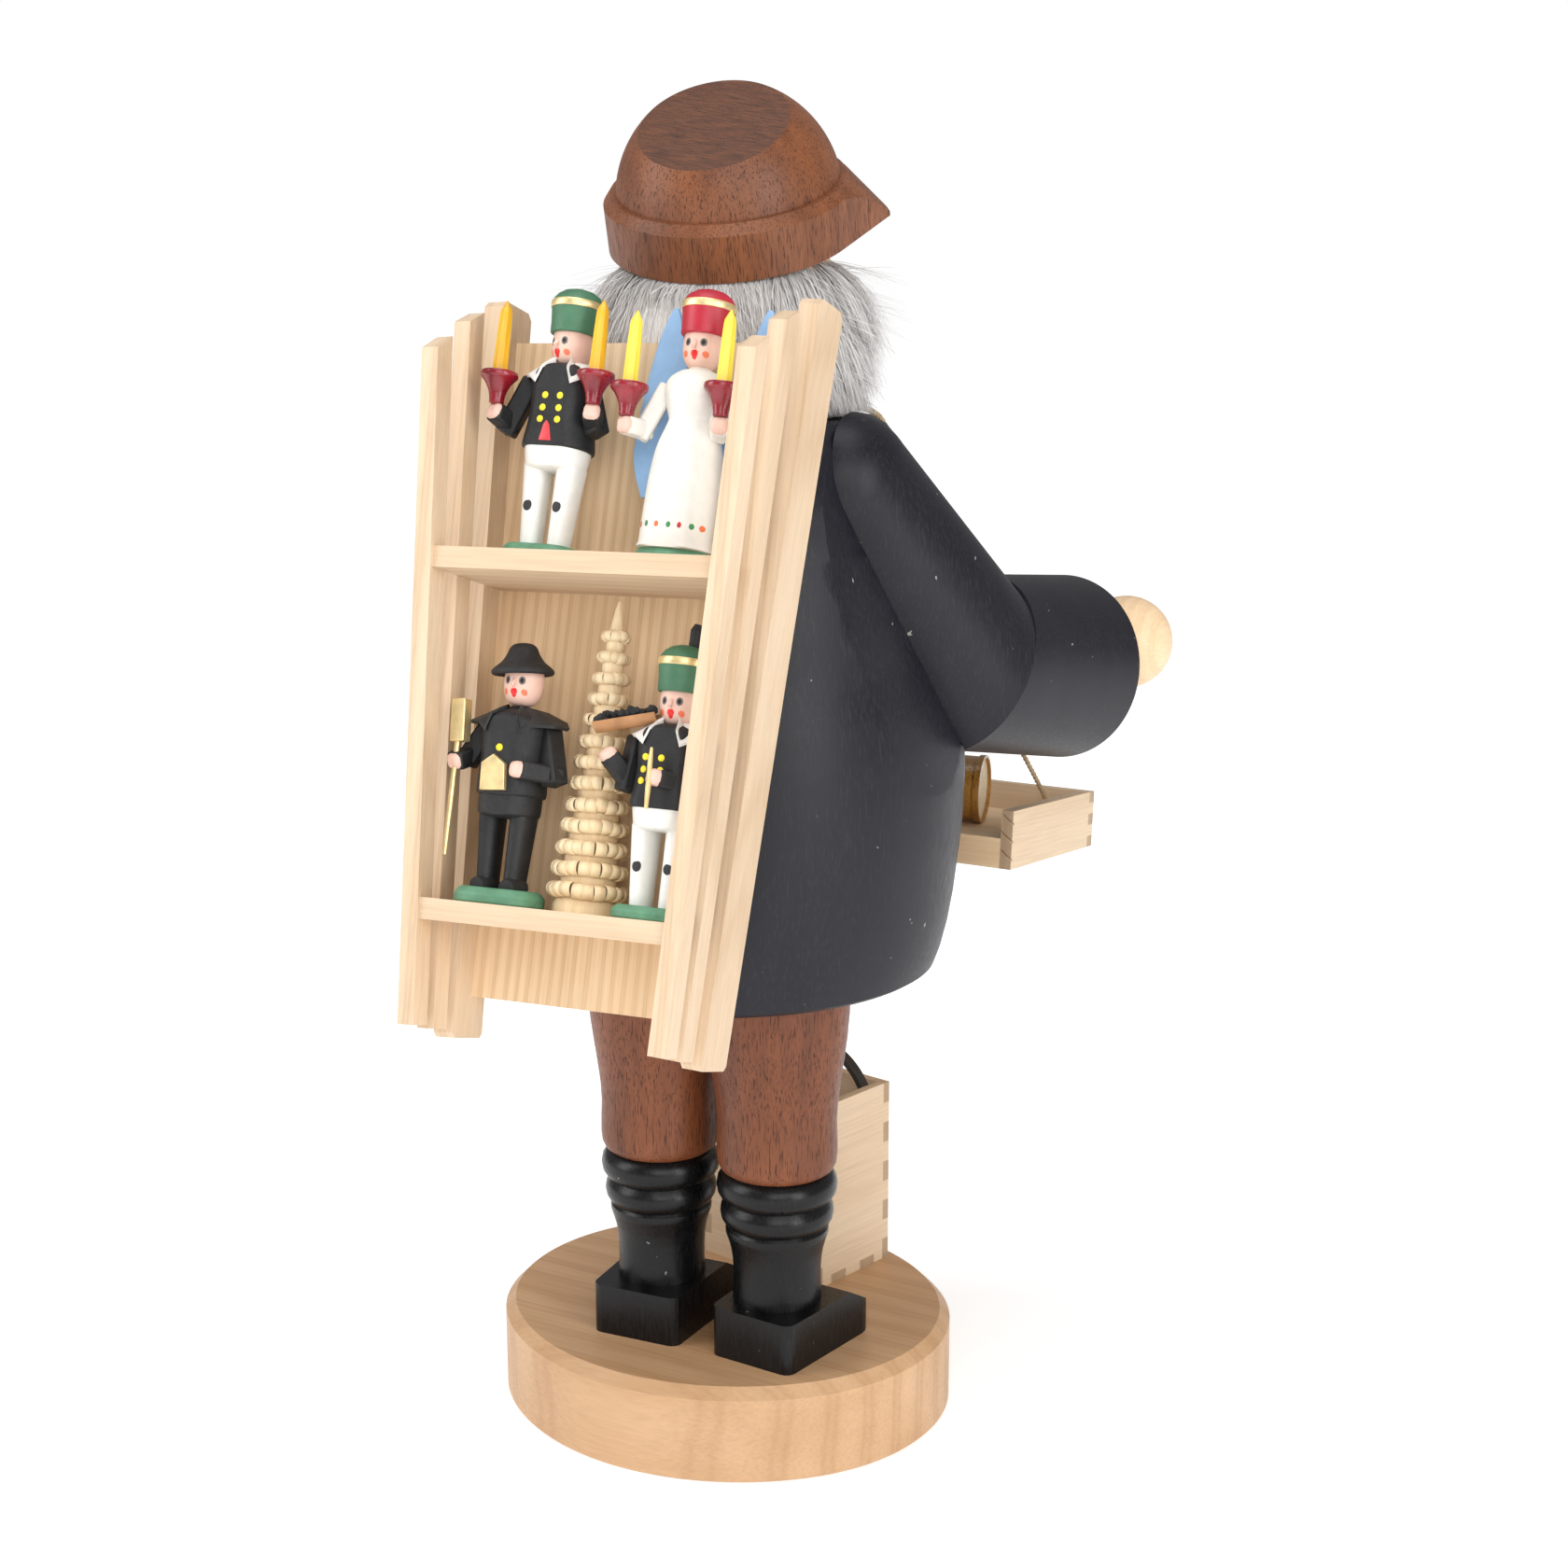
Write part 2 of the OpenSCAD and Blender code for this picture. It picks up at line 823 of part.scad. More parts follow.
module right_front_post() {
    color([0.9, 0.79, 0.6])
        post(-1, post_w, front_post);
}

module right_middle_post() {
    color([0.9, 0.79, 0.6])
        post(-1, post_w, middle_post);
}

module right_rear_post() {
    color([0.9, 0.79, 0.6])
        post(-1, rear_w, rear_post);
}

module left_front_post() {
    color([0.9, 0.79, 0.6])
        post(1, post_w, front_post);
}

module left_middle_post() {
    color([0.9, 0.79, 0.6])
        post(1, post_w, middle_post);
}

module left_rear_post() {
    color([0.9, 0.79, 0.6])
        post(1, rear_w, rear_post);
}

module shelf(u, depth) {
    in_pack()
        rotate([90, 0, 0])
            translate([0, 0, -depth])
                linear_extrude(depth)
                    polygon([[-hw(u), u], [hw(u), u], [hw(u + shelf_t), u + shelf_t],
                             [-hw(u + shelf_t), u + shelf_t]]);
}

module upper_shelf() {
    color([0.88, 0.76, 0.58])
        shelf(shelf_gap, 28.8);
}

module lower_shelf() {
    color([0.88, 0.76, 0.58])
        shelf(0, 24.2);
}

// dowels that hold the frame on the coat's milled back
module peg_row(play) {
    for (s = [-1, 1])
        translate([s * 9 + 5, -2, 86])
            rotate([90, 0, 0])
                translate([0, 0, play > 0 ? -0.05 : 0])
                    cylinder(h = 11.5, r = 2.5 + play, $fn = 32);
}

module pack_pegs() {
    color([0.8, 0.65, 0.45])
        in_pack()
            peg_row(0);
}

// Crate

module in_crate() {
    translate(crate_o)
        rotate([0, 0, crate_yaw])
            children();
}

module crate_long_board(y) {
    in_crate()
        difference() {
            translate([0, y, 0])
                cube([crate_w, crate_t, crate_h]);
            // side boards' fingers come through at both ends
            for (x = [-1, crate_w - crate_t])
                for (i = [1:2:7])
                    translate([x, y - 1, i * crate_h / 9])
                        cube([crate_t + 1, crate_t + 2, crate_h / 9]);
            cells(crate_w, 7, 1, y - 1, crate_t + 2, -1, crate_t + 1);
        }
}

module crate_side_board(x) {
    in_crate()
        difference() {
            translate([x, 0, 0])
                cube([crate_t, crate_d, crate_h]);
            for (y = [-1, crate_d - crate_t])
                for (i = [0:2:8])
                    translate([x - 1, y, i * crate_h / 9 - (i == 0 ? 1 : 0)])
                        cube([crate_t + 2, crate_t + 1, crate_h / 9 + (i == 0 || i == 8 ? 1 : 0)]);
            translate([x - 1, 0, 0])
                multmatrix([[0, 1, 0, 0], [1, 0, 0, 0], [0, 0, 1, 0], [0, 0, 0, 1]])
                    cells(crate_d, 5, 1, 0, crate_t + 2, -1, crate_t + 1);
        }
}

module crate_front() {
    color([0.9, 0.8, 0.62])
        crate_long_board(0);
}

module crate_back() {
    color([0.9, 0.8, 0.62])
        crate_long_board(crate_d - crate_t);
}

module crate_right_side() {
    color([0.9, 0.8, 0.62])
        crate_side_board(0);
}

module crate_left_side() {
    color([0.9, 0.8, 0.62])
        crate_side_board(crate_w - crate_t);
}

module crate_floor() {
    color([0.86, 0.74, 0.56])
        in_crate() {
            translate([crate_t, crate_t, 0])
                cube([crate_w - 2 * crate_t, crate_d - 2 * crate_t, crate_t]);
            for (y = [0, crate_d - crate_t])
                cells(crate_w, 7, 1, y, crate_t, 0, crate_t);
            for (x = [0, crate_w - crate_t])
                translate([x, 0, 0])
                    multmatrix([[0, 1, 0, 0], [1, 0, 0, 0], [0, 0, 1, 0], [0, 0, 0, 1]])
                        cells(crate_d, 5, 1, 0, crate_t, 0, crate_t);
        }
}

// arched leather handle across the crate
module crate_handle() {
    rise = 10;
    half = crate_w / 2 - crate_t - 0.7;
    rr = (half * half + rise * rise) / (2 * rise);
    span = asin(half / rr);
    color([0.22, 0.14, 0.1])
        in_crate()
            translate([crate_w / 2, 7, crate_h - 1]) {
                translate([0, 0, rise - rr])
                    rotate([90, 0, 0])
                        rotate([0, 0, 90 - span])
                            rotate_extrude(angle = 2 * span, $fn = 96)
                                translate([rr, 0])
                                    square([1.4, 3], center = true);
                for (s = [-1, 1])
                    translate([s * half - 0.7, -1.5, -12])
                        cube([1.4, 3, 12.6]);
            }
}

// Little figures, each stands at a place on a shelf

module on_shelf(a, n, u) {
    in_pack()
        translate([a, n, u])
            children();
}

miner_at = [15.5, 14, shelf_gap + shelf_t];
angel_at = [-16, 14, shelf_gap + shelf_t];
black_at = [16.2, 15.6, shelf_t];
ore_at = [-19.6, 16, shelf_t];
tree_at = [-5, 9.6, shelf_t];

module foot_disc(rx, ry, h) {
    intersection() {
        cylinder(h = h, r1 = rx, r2 = rx - 1.2, $fn = 48);
        translate([-rx, -ry, -1])
            cube([2 * rx, 2 * ry, h + 2]);
    }
}

// legs, jacket and arms of a miner; hands given as points, elbow_x is how far the elbows stand out
module miner_body(hand_r_pt, hand_l_pt, elbow_x) {
    foot_disc(8.7, 6.6, 3);
    for (s = [-1, 1])
        along([s * 3.4, 0.1, 1.5], [-s * 0.5, 0, 21])
            cylinder(h = 23, r1 = 2.3, r2 = 3.8, $fn = 36);
    intersection() {
        rotate_extrude($fn = 60)
            polygon([[0, 19.5], [6.9, 20.5], [7.3, 24], [7.9, 24.3], [7.6, 28], [7.2, 33],
                     [7.6, 38], [7.2, 40.6], [4.6, 42.2], [2.6, 42.6], [0, 42.6]]);
        translate([-10, -6.2, 15])
            cube([20, 12.4, 30]);
    }
    for (h = [[-1, hand_r_pt], [1, hand_l_pt]]) {
        elbow = [h[0] * elbow_x, 1, 29.5];
        bar([h[0] * 7.2, 0, 37.6], elbow, 4.4);
        bar(elbow, h[1], 3.9);
    }
}

// head and hat share one turning; z counts from the chin
module turned_head() {
    rotate_extrude($fn = 60)
        polygon([[0, -0.8], [2.4, -0.8], [4, 0.2], [5, 2], [5.4, 4], [5.2, 6.2], [5, 6.9],
                 [0, 7]]);
    translate([0, 5.1, 3.6])
        rotate([-18, 0, 0])
            cylinder(h = 2.6, r1 = 0.8, r2 = 0.35, $fn = 20);
}

module shako() {
    rotate_extrude($fn = 60)
        polygon([[0, 6.9], [6, 6.9], [6.1, 7.2], [6.5, 14.2], [6.2, 15], [4.4, 16.1], [0, 16.6]]);
}

// the stem stands on the carved hand at p
module cup_and_candle(p) {
    stem_z = 2.65;
    translate(p) {
        rotate_extrude($fn = 40)
            polygon([[0, stem_z], [1.3, stem_z], [1.5, 3.8], [2.4, 5.6], [3.9, 7.6], [4, 8.3],
                     [3.6, 8.8], [0, 8.8]]);
        translate([0, 0, 8.7])
            cylinder(h = 13, r1 = 1.6, r2 = 1.5, $fn = 24);
        translate([0, 0, 21.6])
            cylinder(h = 2.8, r1 = 1.5, r2 = 0.5, $fn = 24);
    }
}

candle_hand = [11.8, 5.5, 31.3];
angel_hand = [10.9, 6.4, 28.6];

module green_miner_body() {
    color([0.12, 0.12, 0.12])
        on_shelf(miner_at[0], miner_at[1], miner_at[2])
            miner_body(mirrored(candle_hand), candle_hand, 10.4);
}

module green_miner_head() {
    color([0.2, 0.42, 0.25])
        on_shelf(miner_at[0], miner_at[1], miner_at[2] + 43.4) {
            turned_head();
            shako();
        }
}

module green_miner_candles() {
    color([0.55, 0.08, 0.12])
        on_shelf(miner_at[0], miner_at[1], miner_at[2])
            for (s = [-1, 1])
                cup_and_candle([s * candle_hand[0], candle_hand[1], candle_hand[2]]);
}

module angel_body() {
    color([0.93, 0.92, 0.88])
        on_shelf(angel_at[0], angel_at[1], angel_at[2]) {
            foot_disc(8.6, 7.4, 3);
            scale([1, 0.88, 1])
                rotate_extrude($fn = 60)
                    polygon([[0, 2.5], [8, 2.9], [8.2, 4.4], [8.1, 10], [7.8, 20], [6.8, 25.4],
                             [5.3, 30.3], [6.4, 34], [6.9, 37], [6.3, 39.6], [4, 41.2], [2.4, 41.5],
                             [2.2, 42], [0, 42]]);
            for (s = [-1, 1]) {
                bar([s * 5.8, 0, 36.6], [s * 9, 1.6, 28.6], 4);
                bar([s * 9, 1.6, 28.6], [s * angel_hand[0], angel_hand[1], angel_hand[2]], 3.7);
            }
        }
}

module angel_head() {
    color([0.7, 0.1, 0.14])
        on_shelf(angel_at[0], angel_at[1], angel_at[2] + 42.8) {
            turned_head();
            shako();
        }
}

module angel_wings() {
    color([0.55, 0.7, 0.85])
        on_shelf(angel_at[0], angel_at[1], angel_at[2])
            for (s = [-1, 1])
                mirror([s < 0 ? 1 : 0, 0, 0])
                    translate([0, -6.2, 0])
                        rotate([90, 0, 0])
                            linear_extrude(1.4)
                                polygon([[0, 30], [3.4, 34.5], [5.6, 40], [7.2, 46], [8.8, 52], [9.8, 55],
                                         [10.9, 53], [12.1, 47], [12.9, 40], [13.1, 33], [12.6, 26],
                                         [11.2, 20], [9.2, 15.6], [8, 14], [6.6, 17.5], [4, 24],
                                         [0, 27]]);
}

module angel_candles() {
    color([0.55, 0.08, 0.12])
        on_shelf(angel_at[0], angel_at[1], angel_at[2])
            for (s = [-1, 1])
                cup_and_candle([s * angel_hand[0], angel_hand[1], angel_hand[2]]);
}

module black_miner_body() {
    color([0.1, 0.1, 0.1])
        on_shelf(black_at[0], black_at[1], black_at[2]) {
            foot_disc(10.4, 7, 3.6);
            for (s = [-1, 1])
                along([s * 3.8, 0.1, 1.5], [-s * 0.5, 0, 21])
                    cylinder(h = 23, r1 = 2.4, r2 = 3.8, $fn = 36);
            intersection() {
                rotate_extrude($fn = 60)
                    polygon([[0, 20.5], [7.2, 21.5], [8, 24.2], [7.9, 28], [7.4, 34], [7.8, 39],
                             [10.2, 40.6], [9.6, 41.8], [4.6, 43.4], [0, 43.8]]);
                translate([-12, -6.6, 15])
                    cube([24, 13.2, 30]);
            }
            bar([7.6, 0, 38.2], [10.6, 0.6, 32.8], 4.5);
            bar([10.6, 0.6, 32.8], [11.6, 4.9, 31], 3.7);
            bar([-7.6, 0, 38.2], [-10.4, 1, 29.6], 4.6);
            bar([-10.4, 1, 29.6], [-2.6, 7.6, 30], 4.1);
            // house-shaped plate on the flat front
            translate([4.2, 7.2, 0])
                rotate([90, 0, 0])
                    linear_extrude(1)
                        polygon([[-3.6, 26.2], [3.6, 26.2], [3.4, 32.4], [0, 34.4], [-3.4, 32.4]]);
        }
}

module black_miner_head() {
    color([0.1, 0.1, 0.1])
        on_shelf(black_at[0], black_at[1], black_at[2] + 44.6) {
            turned_head();
            rotate([0, 4, 0])
                rotate_extrude($fn = 60)
                    polygon([[0, 6.9], [7.6, 6.9], [8, 7.8], [7.4, 8.8], [5, 10.2], [3.6, 12.6],
                             [2.6, 13.6], [0, 13.9]]);
        }
}

module black_miner_hammer() {
    color([0.8, 0.62, 0.25])
        on_shelf(black_at[0] + 12, black_at[1] + 5.05, black_at[2]) {
            translate([0, 0, 9.5])
                cylinder(h = 18.9, r = 0.6, $fn = 24);
            translate([0, 0, 33.8])
                cylinder(h = 4, r = 0.6, $fn = 24);
            rotate([0, 6, 0])
                translate([-1.6 - 3.9, -1.6, 36.4])
                    cube([3.6, 3.2, 9.4]);
        }
}

module ore_miner_body() {
    color([0.12, 0.12, 0.12])
        on_shelf(ore_at[0], ore_at[1], ore_at[2])
            miner_body([-0.8, 7.4, 30.6], [11.6, 4.6, 35], 7.9);
}

module ore_miner_head() {
    color([0.2, 0.42, 0.25])
        on_shelf(ore_at[0], ore_at[1], ore_at[2] + 43.4) {
            turned_head();
            shako();
            translate([-3.4, 0, 15.4])
                rotate([0, -8, 0])
                    cylinder(h = 5.6, r1 = 1.3, r2 = 1.7, $fn = 24);
        }
}

// trough of ore on the shoulder, and the stick held before the chest
module ore_miner_trough() {
    color([0.5, 0.33, 0.18])
        on_shelf(ore_at[0], ore_at[1], ore_at[2]) {
            along([18.2, 4.2, 39.8], [-14.2, -1.4, 3.6])
                cylinder(h = 11.4, r = 2.2, $fn = 32);
            translate([0.4, 8.8, 25])
                cylinder(h = 3.2, r = 0.55, $fn = 20);
        }
}

// shaved tree: rings of curls left on a turned trunk
module curl_tree() {
    rings = 12;
    color([0.93, 0.85, 0.66])
        on_shelf(tree_at[0], tree_at[1], tree_at[2]) {
            rotate_extrude($fn = 48)
                polygon([[0, 0], [7.1, 0], [7.1, 1.6], [6.5, 3], [2.2, 56], [1.7, 60], [0.5, 66],
                         [0, 66]]);
            difference() {
                for (i = [0:rings - 1])
                    let (z = 4.85 + 4.55 * i, r = 8.7 - 0.5 * i)
                        translate([0, 0, z])
                            rotate_extrude($fn = 60)
                                translate([r - 1.5, 0])
                                    circle(1.75 - 0.04 * i, $fn = 20);
                for (k = [0:5])
                    rotate([0, 0, 30 * k])
                        translate([-14, -0.2, 0])
                            cube([28, 0.4, 62]);
            }
        }
}

base();
right_shoe();
left_shoe();
right_boot();
left_boot();
right_breeches();
left_breeches();
hip_block();
cone_dish();
coat();
right_upper_arm();
left_upper_arm();
right_forearm();
left_forearm();
right_hand();
left_hand();
head();
nose();
hair_fur();
beard_fur();
cap_brim();
cap_crown();
tray_floor();
tray_front();
tray_right_side();
tray_left_side();
tray_cord();
toy_drum();
toy_horse();
pack_panel();
right_front_post();
right_middle_post();
right_rear_post();
left_front_post();
left_middle_post();
left_rear_post();
upper_shelf();
lower_shelf();
pack_pegs();
crate_front();
crate_back();
crate_right_side();
crate_left_side();
crate_floor();
crate_handle();
green_miner_body();
green_miner_head();
green_miner_candles();
angel_body();
angel_head();
angel_wings();
angel_candles();
black_miner_body();
black_miner_head();
black_miner_hammer();
ore_miner_body();
ore_miner_head();
ore_miner_trough();
curl_tree();
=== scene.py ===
"""Dresses the incense smoker: stained, painted and raw wood, loose fur, twine, and the
little carved figures of the back frame. Lengths in this file are millimetres until
make() turns a form into metres; the places repeat the part's own frames."""
import math
import random

import bpy
from mathutils import Matrix, Vector, noise


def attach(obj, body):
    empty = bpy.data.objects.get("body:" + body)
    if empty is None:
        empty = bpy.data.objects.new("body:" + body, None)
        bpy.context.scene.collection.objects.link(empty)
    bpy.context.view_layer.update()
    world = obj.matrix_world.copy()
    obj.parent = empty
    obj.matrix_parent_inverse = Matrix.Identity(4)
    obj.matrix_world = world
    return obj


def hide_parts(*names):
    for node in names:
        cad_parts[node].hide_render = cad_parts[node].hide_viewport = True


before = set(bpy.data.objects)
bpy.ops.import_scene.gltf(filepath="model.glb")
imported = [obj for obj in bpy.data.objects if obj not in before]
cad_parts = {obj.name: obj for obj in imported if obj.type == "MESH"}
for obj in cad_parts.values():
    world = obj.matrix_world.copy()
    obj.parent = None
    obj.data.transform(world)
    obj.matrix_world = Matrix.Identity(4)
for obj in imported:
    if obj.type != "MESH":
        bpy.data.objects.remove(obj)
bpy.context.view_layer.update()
MM = 0.001
BODY = "figure"


# frames, in millimetres

def turn(deg, axis):
    return Matrix.Rotation(math.radians(deg), 4, axis)


def move(x, y, z):
    return Matrix.Translation((x, y, z))


WORLD = Matrix.Identity(4)
FIG = move(-10.5, 17.2, 0)
PACK = move(-20.6, 88.6, 146.3) @ turn(6, "Z") @ turn(17, "X") @ turn(0.8, "Y")
CAP = FIG @ move(-1, -3, 299.7) @ turn(-6.6, "Y") @ turn(-20.9, "X")
TRAY = FIG @ move(0, -54.8, 138.7) @ turn(180, "Z") @ turn(-5, "X")
CRATE = move(-24.7, -43.9, 24.2) @ turn(-11, "Z")
FACET = (CAP @ turn(-3.4, "Y") @ turn(-15.3, "X")).to_3x3() @ Vector((0, 0, 1))
TRAY_FLOOR = 7.7
SHELF_UP, SHELF_LOW = 79.0, 4.6
PANEL_BACK = -5.7
LOW_FIGURES = 0.955


# camera and light

def show(name, data):
    """New object in the scene for a mesh, camera or lamp."""
    obj = bpy.data.objects.new(name, data)
    bpy.context.collection.objects.link(obj)
    return obj


def camera():
    data = bpy.data.cameras.new("camera")
    data.lens = 54.54
    data.sensor_width = 36
    data.clip_start = 0.01
    obj = show("camera", data)
    look = Vector((0.4889, -0.8468, -0.2096)).normalized()
    right = Vector((-0.866, -0.5, 0)).normalized()
    up = right.cross(look)
    rot = Matrix((right, up, -look)).transposed().to_4x4()
    obj.matrix_world = Matrix.Translation((-0.3038, 0.4961, 0.2860)) @ rot
    bpy.context.scene.camera = obj


def area_light(name, place, aim, size, power):
    data = bpy.data.lights.new(name, "AREA")
    data.shape = "RECTANGLE"
    data.size, data.size_y = size
    data.energy = power
    obj = show(name, data)
    obj.location = place
    obj.rotation_euler = (Vector(aim) - Vector(place)).to_track_quat("-Z", "Y").to_euler()


def studio():
    """White surroundings, soft lamps, and a pale floor that fades into the backdrop."""
    world = bpy.data.worlds.new("studio")
    bpy.context.scene.world = world
    world.use_nodes = True
    tree = world.node_tree
    back = tree.nodes["Background"]
    back.inputs["Color"].default_value = (1, 1, 1, 1)
    path = tree.nodes.new("ShaderNodeLightPath")
    level = tree.nodes.new("ShaderNodeMapRange")
    level.inputs["To Min"].default_value = 0.34
    level.inputs["To Max"].default_value = 1.0
    tree.links.new(path.outputs["Is Camera Ray"], level.inputs["Value"])
    tree.links.new(level.outputs["Result"], back.inputs["Strength"])
    bpy.context.scene.view_settings.view_transform = "Standard"
    aim = (0, 0, 0.17)
    area_light("window_left", (0.75, 0.7, 0.6), aim, (0.5, 0.8), 5.2)
    area_light("window_right", (-0.95, 0.35, 0.42), aim, (0.35, 0.7), 4.4)
    area_light("top", (-0.05, 0.2, 1.1), aim, (0.7, 0.7), 4.4)
    area_light("front_fill", (-0.75, 1.15, 0.75), aim, (0.9, 0.9), 7.5)
    floor = bpy.data.meshes.new("floor")
    floor.from_pydata([(-9, -9, 0), (9, -9, 0), (9, 9, 0), (-9, 9, 0)], [], [(0, 1, 2, 3)])
    obj = show("floor", floor)
    n = Nodes("floor")
    n.put("Base Color", (0.75, 0.75, 0.75))
    n.put("Roughness", 0.7)
    n.put("Specular IOR Level", 0.1)
    n.put("Emission Color", (1, 1, 1))
    coord = n.node("ShaderNodeTexCoord")
    reach = n.node("ShaderNodeVectorMath", operation="LENGTH")
    n.link(coord.outputs["Object"], reach.inputs[0])
    glow = n.node("ShaderNodeMapRange")
    glow.inputs["From Min"].default_value = 0.1
    glow.inputs["From Max"].default_value = 0.4
    glow.inputs["To Min"].default_value = 0.5
    glow.inputs["To Max"].default_value = 0.8
    n.link(reach.outputs["Value"], glow.inputs["Value"])
    n.put("Emission Strength", glow.outputs["Result"])
    floor.materials.append(n.mat)


# materials

class Nodes:
    """A short way to write a node tree round the Principled shader."""

    def __init__(self, name):
        self.mat = bpy.data.materials.new(name)
        self.mat.use_nodes = True
        self.tree = self.mat.node_tree
        self.out = self.tree.nodes["Principled BSDF"]

    def node(self, kind, **sets):
        n = self.tree.nodes.new(kind)
        for key, val in sets.items():
            if key in n.inputs:
                n.inputs[key].default_value = val
            else:
                setattr(n, key, val)
        return n

    def link(self, a, b):
        self.tree.links.new(a, b)

    def feed(self, socket, value):
        """Sets the socket to a number or a colour, or links it to another node's output."""
        if isinstance(value, (int, float)):
            socket.default_value = value
        elif isinstance(value, tuple):
            socket.default_value = (*value, 1)
        else:
            self.link(value, socket)

    def put(self, key, value):
        """Feeds an input of the Principled shader."""
        self.feed(self.out.inputs[key], value)

    def turned(self, vec, base, kind):
        """Brings a point or a vector into the frame base."""
        spin = self.node("ShaderNodeMapping", vector_type=kind)
        spin.inputs["Rotation"].default_value = base.to_3x3().inverted().to_euler()
        self.link(vec, spin.inputs["Vector"])
        return spin.outputs["Vector"]

    def local(self, base):
        """Object coordinates in the frame base."""
        return self.turned(self.node("ShaderNodeTexCoord").outputs["Object"], base, "POINT")

    def stretch(self, vec, scale):
        m = self.node("ShaderNodeMapping")
        m.inputs["Scale"].default_value = scale
        self.link(vec, m.inputs["Vector"])
        return m.outputs["Vector"]

    def noise(self, vec, scale, detail=4.0, rough=0.55, distortion=0.0):
        n = self.node("ShaderNodeTexNoise")
        n.inputs["Scale"].default_value = scale
        n.inputs["Detail"].default_value = detail
        n.inputs["Roughness"].default_value = rough
        n.inputs["Distortion"].default_value = distortion
        self.link(vec, n.inputs["Vector"])
        return n.outputs["Fac"]

    def ramp(self, fac, stops):
        r = self.node("ShaderNodeValToRGB")
        els = r.color_ramp.elements
        while len(els) < len(stops):
            els.new(0.5)
        for el, (pos, col) in zip(els, stops):
            el.position = pos
            el.color = (*col, 1) if len(col) == 3 else (col[0], col[0], col[0], 1)
        self.link(fac, r.inputs["Fac"])
        return r.outputs["Color"]

    def blend(self, fac, a, b, how="MIX"):
        m = self.node("ShaderNodeMix", data_type="RGBA", blend_type=how)
        for key, value in ((0, fac), (6, a), (7, b)):
            self.feed(m.inputs[key], value)
        return m.outputs[2]

    def math(self, how, a, b=0.0):
        m = self.node("ShaderNodeMath", operation=how)
        self.feed(m.inputs[0], a)
        self.feed(m.inputs[1], b)
        return m.outputs[0]

    def bump(self, height, strength, dist=0.0002):
        b = self.node("ShaderNodeBump")
        b.inputs["Strength"].default_value = strength
        b.inputs["Distance"].default_value = dist
        self.link(height, b.inputs["Height"])
        self.put("Normal", b.outputs["Normal"])


def along(axis, lengthwise):
    """Scale that draws a pattern out along one axis."""
    return tuple(lengthwise if a == axis else 1 for a in "XYZ")


def raw_wood(name, pale, mid, dark, base, grain="Z", ring=4.5, lines=0.5, rough=0.55, wander=2.2,
             ends=0.0):
    """Sawn wood: growth lines along the grain, fine fibre, and darker end grain where ends asks."""
    n = Nodes(name)
    vec = n.local(base)
    slow = n.stretch(vec, along(grain, 0.05))
    wave = n.node("ShaderNodeTexWave", wave_type="BANDS",
                  bands_direction="X" if grain != "X" else "Y")
    wave.inputs["Scale"].default_value = 0.314 / (ring * MM)
    wave.inputs["Distortion"].default_value = wander
    wave.inputs["Detail"].default_value = 2.5
    wave.inputs["Detail Scale"].default_value = 0.6
    n.link(slow, wave.inputs["Vector"])
    fibre = n.noise(n.stretch(vec, along(grain, 0.03)), 1500, 3, 0.6)
    cloud = n.noise(n.stretch(vec, along(grain, 0.25)), 60, 3)
    rings = n.ramp(wave.outputs["Fac"], [(0.0, (0.0,)), (0.62, (0.25,)), (0.9, (1.0,)), (1.0, (0.55,))])
    tone = n.ramp(cloud, [(0.3, pale), (0.7, mid)])
    lined = n.blend(n.math("MULTIPLY", rings, lines), tone, dark)
    fine = n.ramp(fibre, [(0.3, (0.86,)), (0.6, (1.0,))])
    colour = n.blend(0.8, lined, fine, "MULTIPLY")
    if ends:
        facing = n.node("ShaderNodeNewGeometry").outputs["True Normal"]
        parts = n.node("ShaderNodeSeparateXYZ")
        n.link(n.turned(facing, base, "VECTOR"), parts.inputs["Vector"])
        sawn = n.math("GREATER_THAN", n.math("ABSOLUTE", parts.outputs[grain]), 0.8)
        colour = n.blend(n.math("MULTIPLY", sawn, ends), colour, tuple(0.55 * c for c in dark))
    n.put("Base Color", colour)
    n.put("Roughness", n.ramp(fibre, [(0.2, (rough + 0.12,)), (0.8, (rough - 0.05,))]))
    n.bump(fibre, 0.25)
    return n.mat


